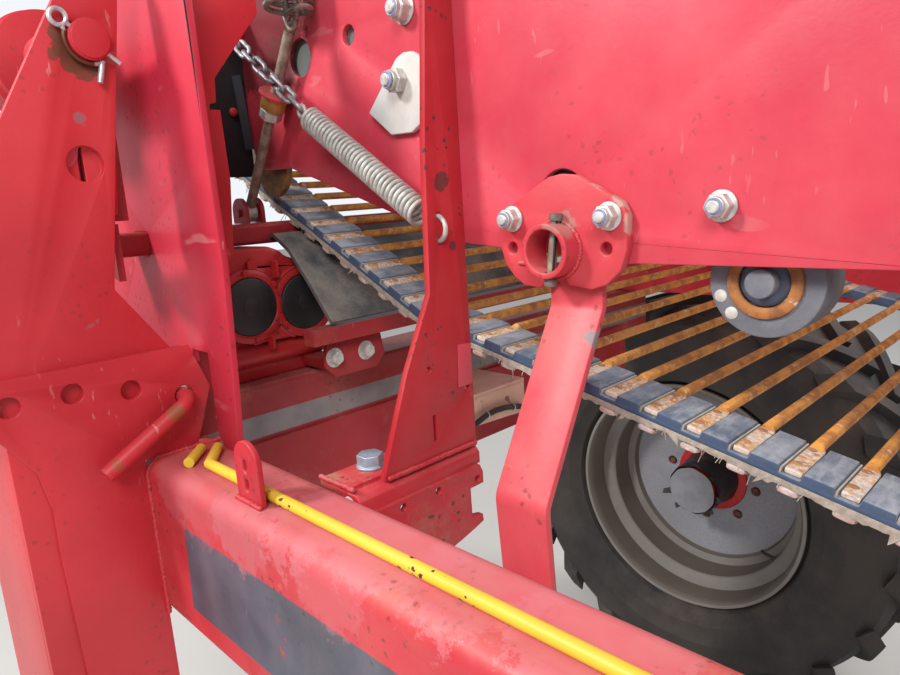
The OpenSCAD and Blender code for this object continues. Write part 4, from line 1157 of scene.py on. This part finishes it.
for number, (y, z) in enumerate(CAPS):
    lathe(f"cap_lip_{number}", LIP, 48, (-1120, y, z), TO_FRONT, red_cast, 60)
    lathe(f"cap_plug_{number}", PLUG, 24, (-1120, y, z), TO_FRONT, black_rubber, 40)
for number, (y, z, height) in enumerate(RIBS):
    rings = [[(x, y + wide * dy, z + tall * dz) for dy, dz in ((-1, -1), (1, -1), (1, 1), (-1, 1))]
             for x, wide, tall in ((-1121, 5, height / 2), (-1112, 2, height / 2 - 3))]
    keep(f"gear_rib_{number}", lofted("rib", rings), red_cast)
print("gearbox: caps", len(CAPS), "ribs", len(RIBS))

# %% Idler's cap and ring
IDLER_AT = (-471, 246, 298.3)
lathe("idler_ring", [(20.8, 0), (20.8, 2.2), (22, 3.2), (28, 3.4), (30, 2.4), (30.4, 0)],
      48, IDLER_AT, TO_NEAR, pad_rust, 50)
lathe("idler_cap", [(0, 1.6), (15, 1.4), (19.5, 0.4), (20.6, -1.4), (20.6, -4)],
      40, IDLER_AT, TO_NEAR, cap_rubber, 50)
spots = [((-507.2, 246.1, 285.3), TO_NEAR), ((-497.7, 246.1, 271.1), TO_NEAR)]
plug = spun("plug", [(5.4, -0.5), (5.4, 0.5), (4.8, 0.9), (0, 0.9)], 20)
repeated("idler_plugs", plug, spots, pale_disc)
print("idler dressed, plugs:", len(spots))

# %% Pipe with its clips
route = [(-1103, 372, -4), (-1070, 374, -3), (-1035, 378, 0), (-1008, 384, 6), (-985, 394, 16),
         (-970, 407, 27), (-966, 422, 34.5), (-966, 440, 39.5), (-966, 460, 41.2), (-966, 482, 40),
         (-966, 503, 36.8), (-967, 522, 32), (-974, 540, 23), (-990, 553, 12), (-1015, 560, 3),
         (-1045, 563, -3), (-1075, 564, -5), (-1103, 564, -6)]
wires("pipe", [route], 4.6, pipe_black, 14)
for number, (y, z) in enumerate(((441, 39.6), (504, 36.6))):
    band = arc_points((-966, y, z), (1, 0, 0), (0, 0, 1), 5.4, -150, 110, 18)
    band += [(-973.5, y, z + 9), (-973.5, y, z + 17)]
    wires(f"pipe_clip_{number}", [band], 1.1, zinc, 8)
print("pipe and clips done")

# %% [markdown]
# ## The wheel's middle
# The hub's nose is wrapped in a torn black sheet, with the bare grey end showing. The holes round
# the disc have rusty studs behind them, and the valve stands out of the rim's well.

# %% Hub wrap, studs and valve
WX, WZ = -1030, -412
ROWS, AROUND = 15, 48
points = []
for k in range(ROWS):
    down = k / (ROWS - 1)
    y = 1288 + 106 * k / (ROWS - 1)
    for i in range(AROUND):
        t = 2 * pi * i / AROUND
        fold = lumps.noise(Vector((cos(t) * 2.2, sin(t) * 2.2, y * 0.035)))
        crease = abs(lumps.noise(Vector((t * 1.7, y * 0.09, 3.0))))
        r = 64.5 + 4.0 * fold + 3.0 * crease + 9.0 * down ** 2
        torn = 5 * lumps.noise(Vector((cos(t) * 3, sin(t) * 3, 8))) if k in (0, ROWS - 1) else 0
        points.append(Vector((WX + r * cos(t), y + torn, WZ + r * sin(t))) / 1000)
sheet = bpy.data.meshes.new("wrap")
sheet.from_pydata(points, [], tube_faces(ROWS, AROUND))
sheet = baked("wrap", sheet, "SOLIDIFY", thickness=0.001, offset=-1.0)
smooth(sheet, 60)
keep("hub_wrap", sheet, wrap_black, "wheel")

spots = [((WX + dx, 1412.5, WZ + dz), TO_NEAR) for dx, dz in (polar(118, t) for t in range(-8, 352, 45))]
repeated("wheel_studs", hexagon("wheel_stud", 14, 6, 11.5), spots, stud_rust, "wheel", 30)
outline = []
for k in range(40):
    t = 2 * pi * k / 40
    r = 61 + 3.0 * lumps.noise(Vector((cos(t) * 2.5, sin(t) * 2.5, 1.0)))
    outline.append((WX + r * cos(t), WZ + r * sin(t)))
face = lofted("hub_end", [[(x, y, z) for x, z in outline] for y in (1282.6, 1280.2)])
keep("hub_end", face, grey_end, "wheel")
tabs = []
for turn, reach in ((196, 24), (232, 13), (318, 16), (352, 20), (40, 12)):
    t = radians(turn)
    out, flank = Vector((cos(t), 0, sin(t))), Vector((-sin(t), 0, cos(t)))
    base = Vector((WX, 1286, WZ)) + out * 62
    tabs += [base - flank * 9, base + flank * 9, base + out * reach + flank * 5 + Y * -7,
             base + out * (reach - 4) - flank * 6 + Y * -3]
rags("wrap_tabs", tabs, 0.001, wrap_black, "wheel")
stem = [(-875, 1358, -566), (-865, 1352, -567.6), (-852, 1352, -569.5), (-840, 1352, -571.8)]
wires("valve_stem", [stem], 4.4, black_rubber, 12, "wheel")
cap = [(-842, 1352, -571.5), (-836, 1352, -573.5), (-829, 1352, -576)]
wires("valve_cap", [cap], 5.2, stud_rust, 12, "wheel")
print("wheel dressed, studs:", len(spots))

# %% [markdown]
# ## Floor and light
# A plain pale floor under the wheel, a pale world, and three large lamps. The camera stands inside
# the machine, so the key lamp comes from behind it and above, as the sun does in the photograph.

# %% Stage
floor_z = cad_box[0][2] - 0.002
bpy.ops.mesh.primitive_plane_add(size=40, location=(0, 0, floor_z))
floor = bpy.context.object
floor.name = "floor"
floor_finish, _, shader, _ = skin("pale_floor")
feed(shader, Base_Color=(0.62, 0.60, 0.57), Roughness=0.9)
floor.data.materials.append(floor_finish)

world = bpy.data.worlds.new("pale_world")
world.use_nodes = True
scene.world = world
tree = world.node_tree
back = tree.nodes["Background"]
back.inputs["Color"].default_value = (0.92, 0.95, 1.0, 1)
seen = node(tree, "ShaderNodeLightPath", out="Is Camera Ray")
WORLD_LIGHT, BACKDROP = 0.55, 0.43
tree.links.new((seen * BACKDROP + WORLD_LIGHT).socket, back.inputs["Strength"])


def lamp(name, at, aim, size, power, colour=(1, 1, 1)):
    data = bpy.data.lights.new(name, "AREA")
    data.shape, data.size, data.energy, data.color = "DISK", size, power, colour
    made = bpy.data.objects.new(name, data)
    made.location = at
    made.rotation_mode = "QUATERNION"
    made.rotation_quaternion = (Vector(aim) - Vector(at)).to_track_quat("-Z", "Y")
    scene.collection.objects.link(made)


lamp("key", (-2.3, -2.5, 2.7), (-0.9, 0.1, 0.35), 0.7, 135, (1.0, 0.97, 0.93))
lamp("front", (0.9, -1.9, 2.3), (-0.8, 0.3, 0.2), 1.6, 82, (1.0, 0.98, 0.96))
lamp("far", (0.6, 3.2, 1.9), (-0.9, 1.2, -0.2), 2.0, 60, (1.0, 0.98, 0.95))
print("floor at", round(floor_z, 3))
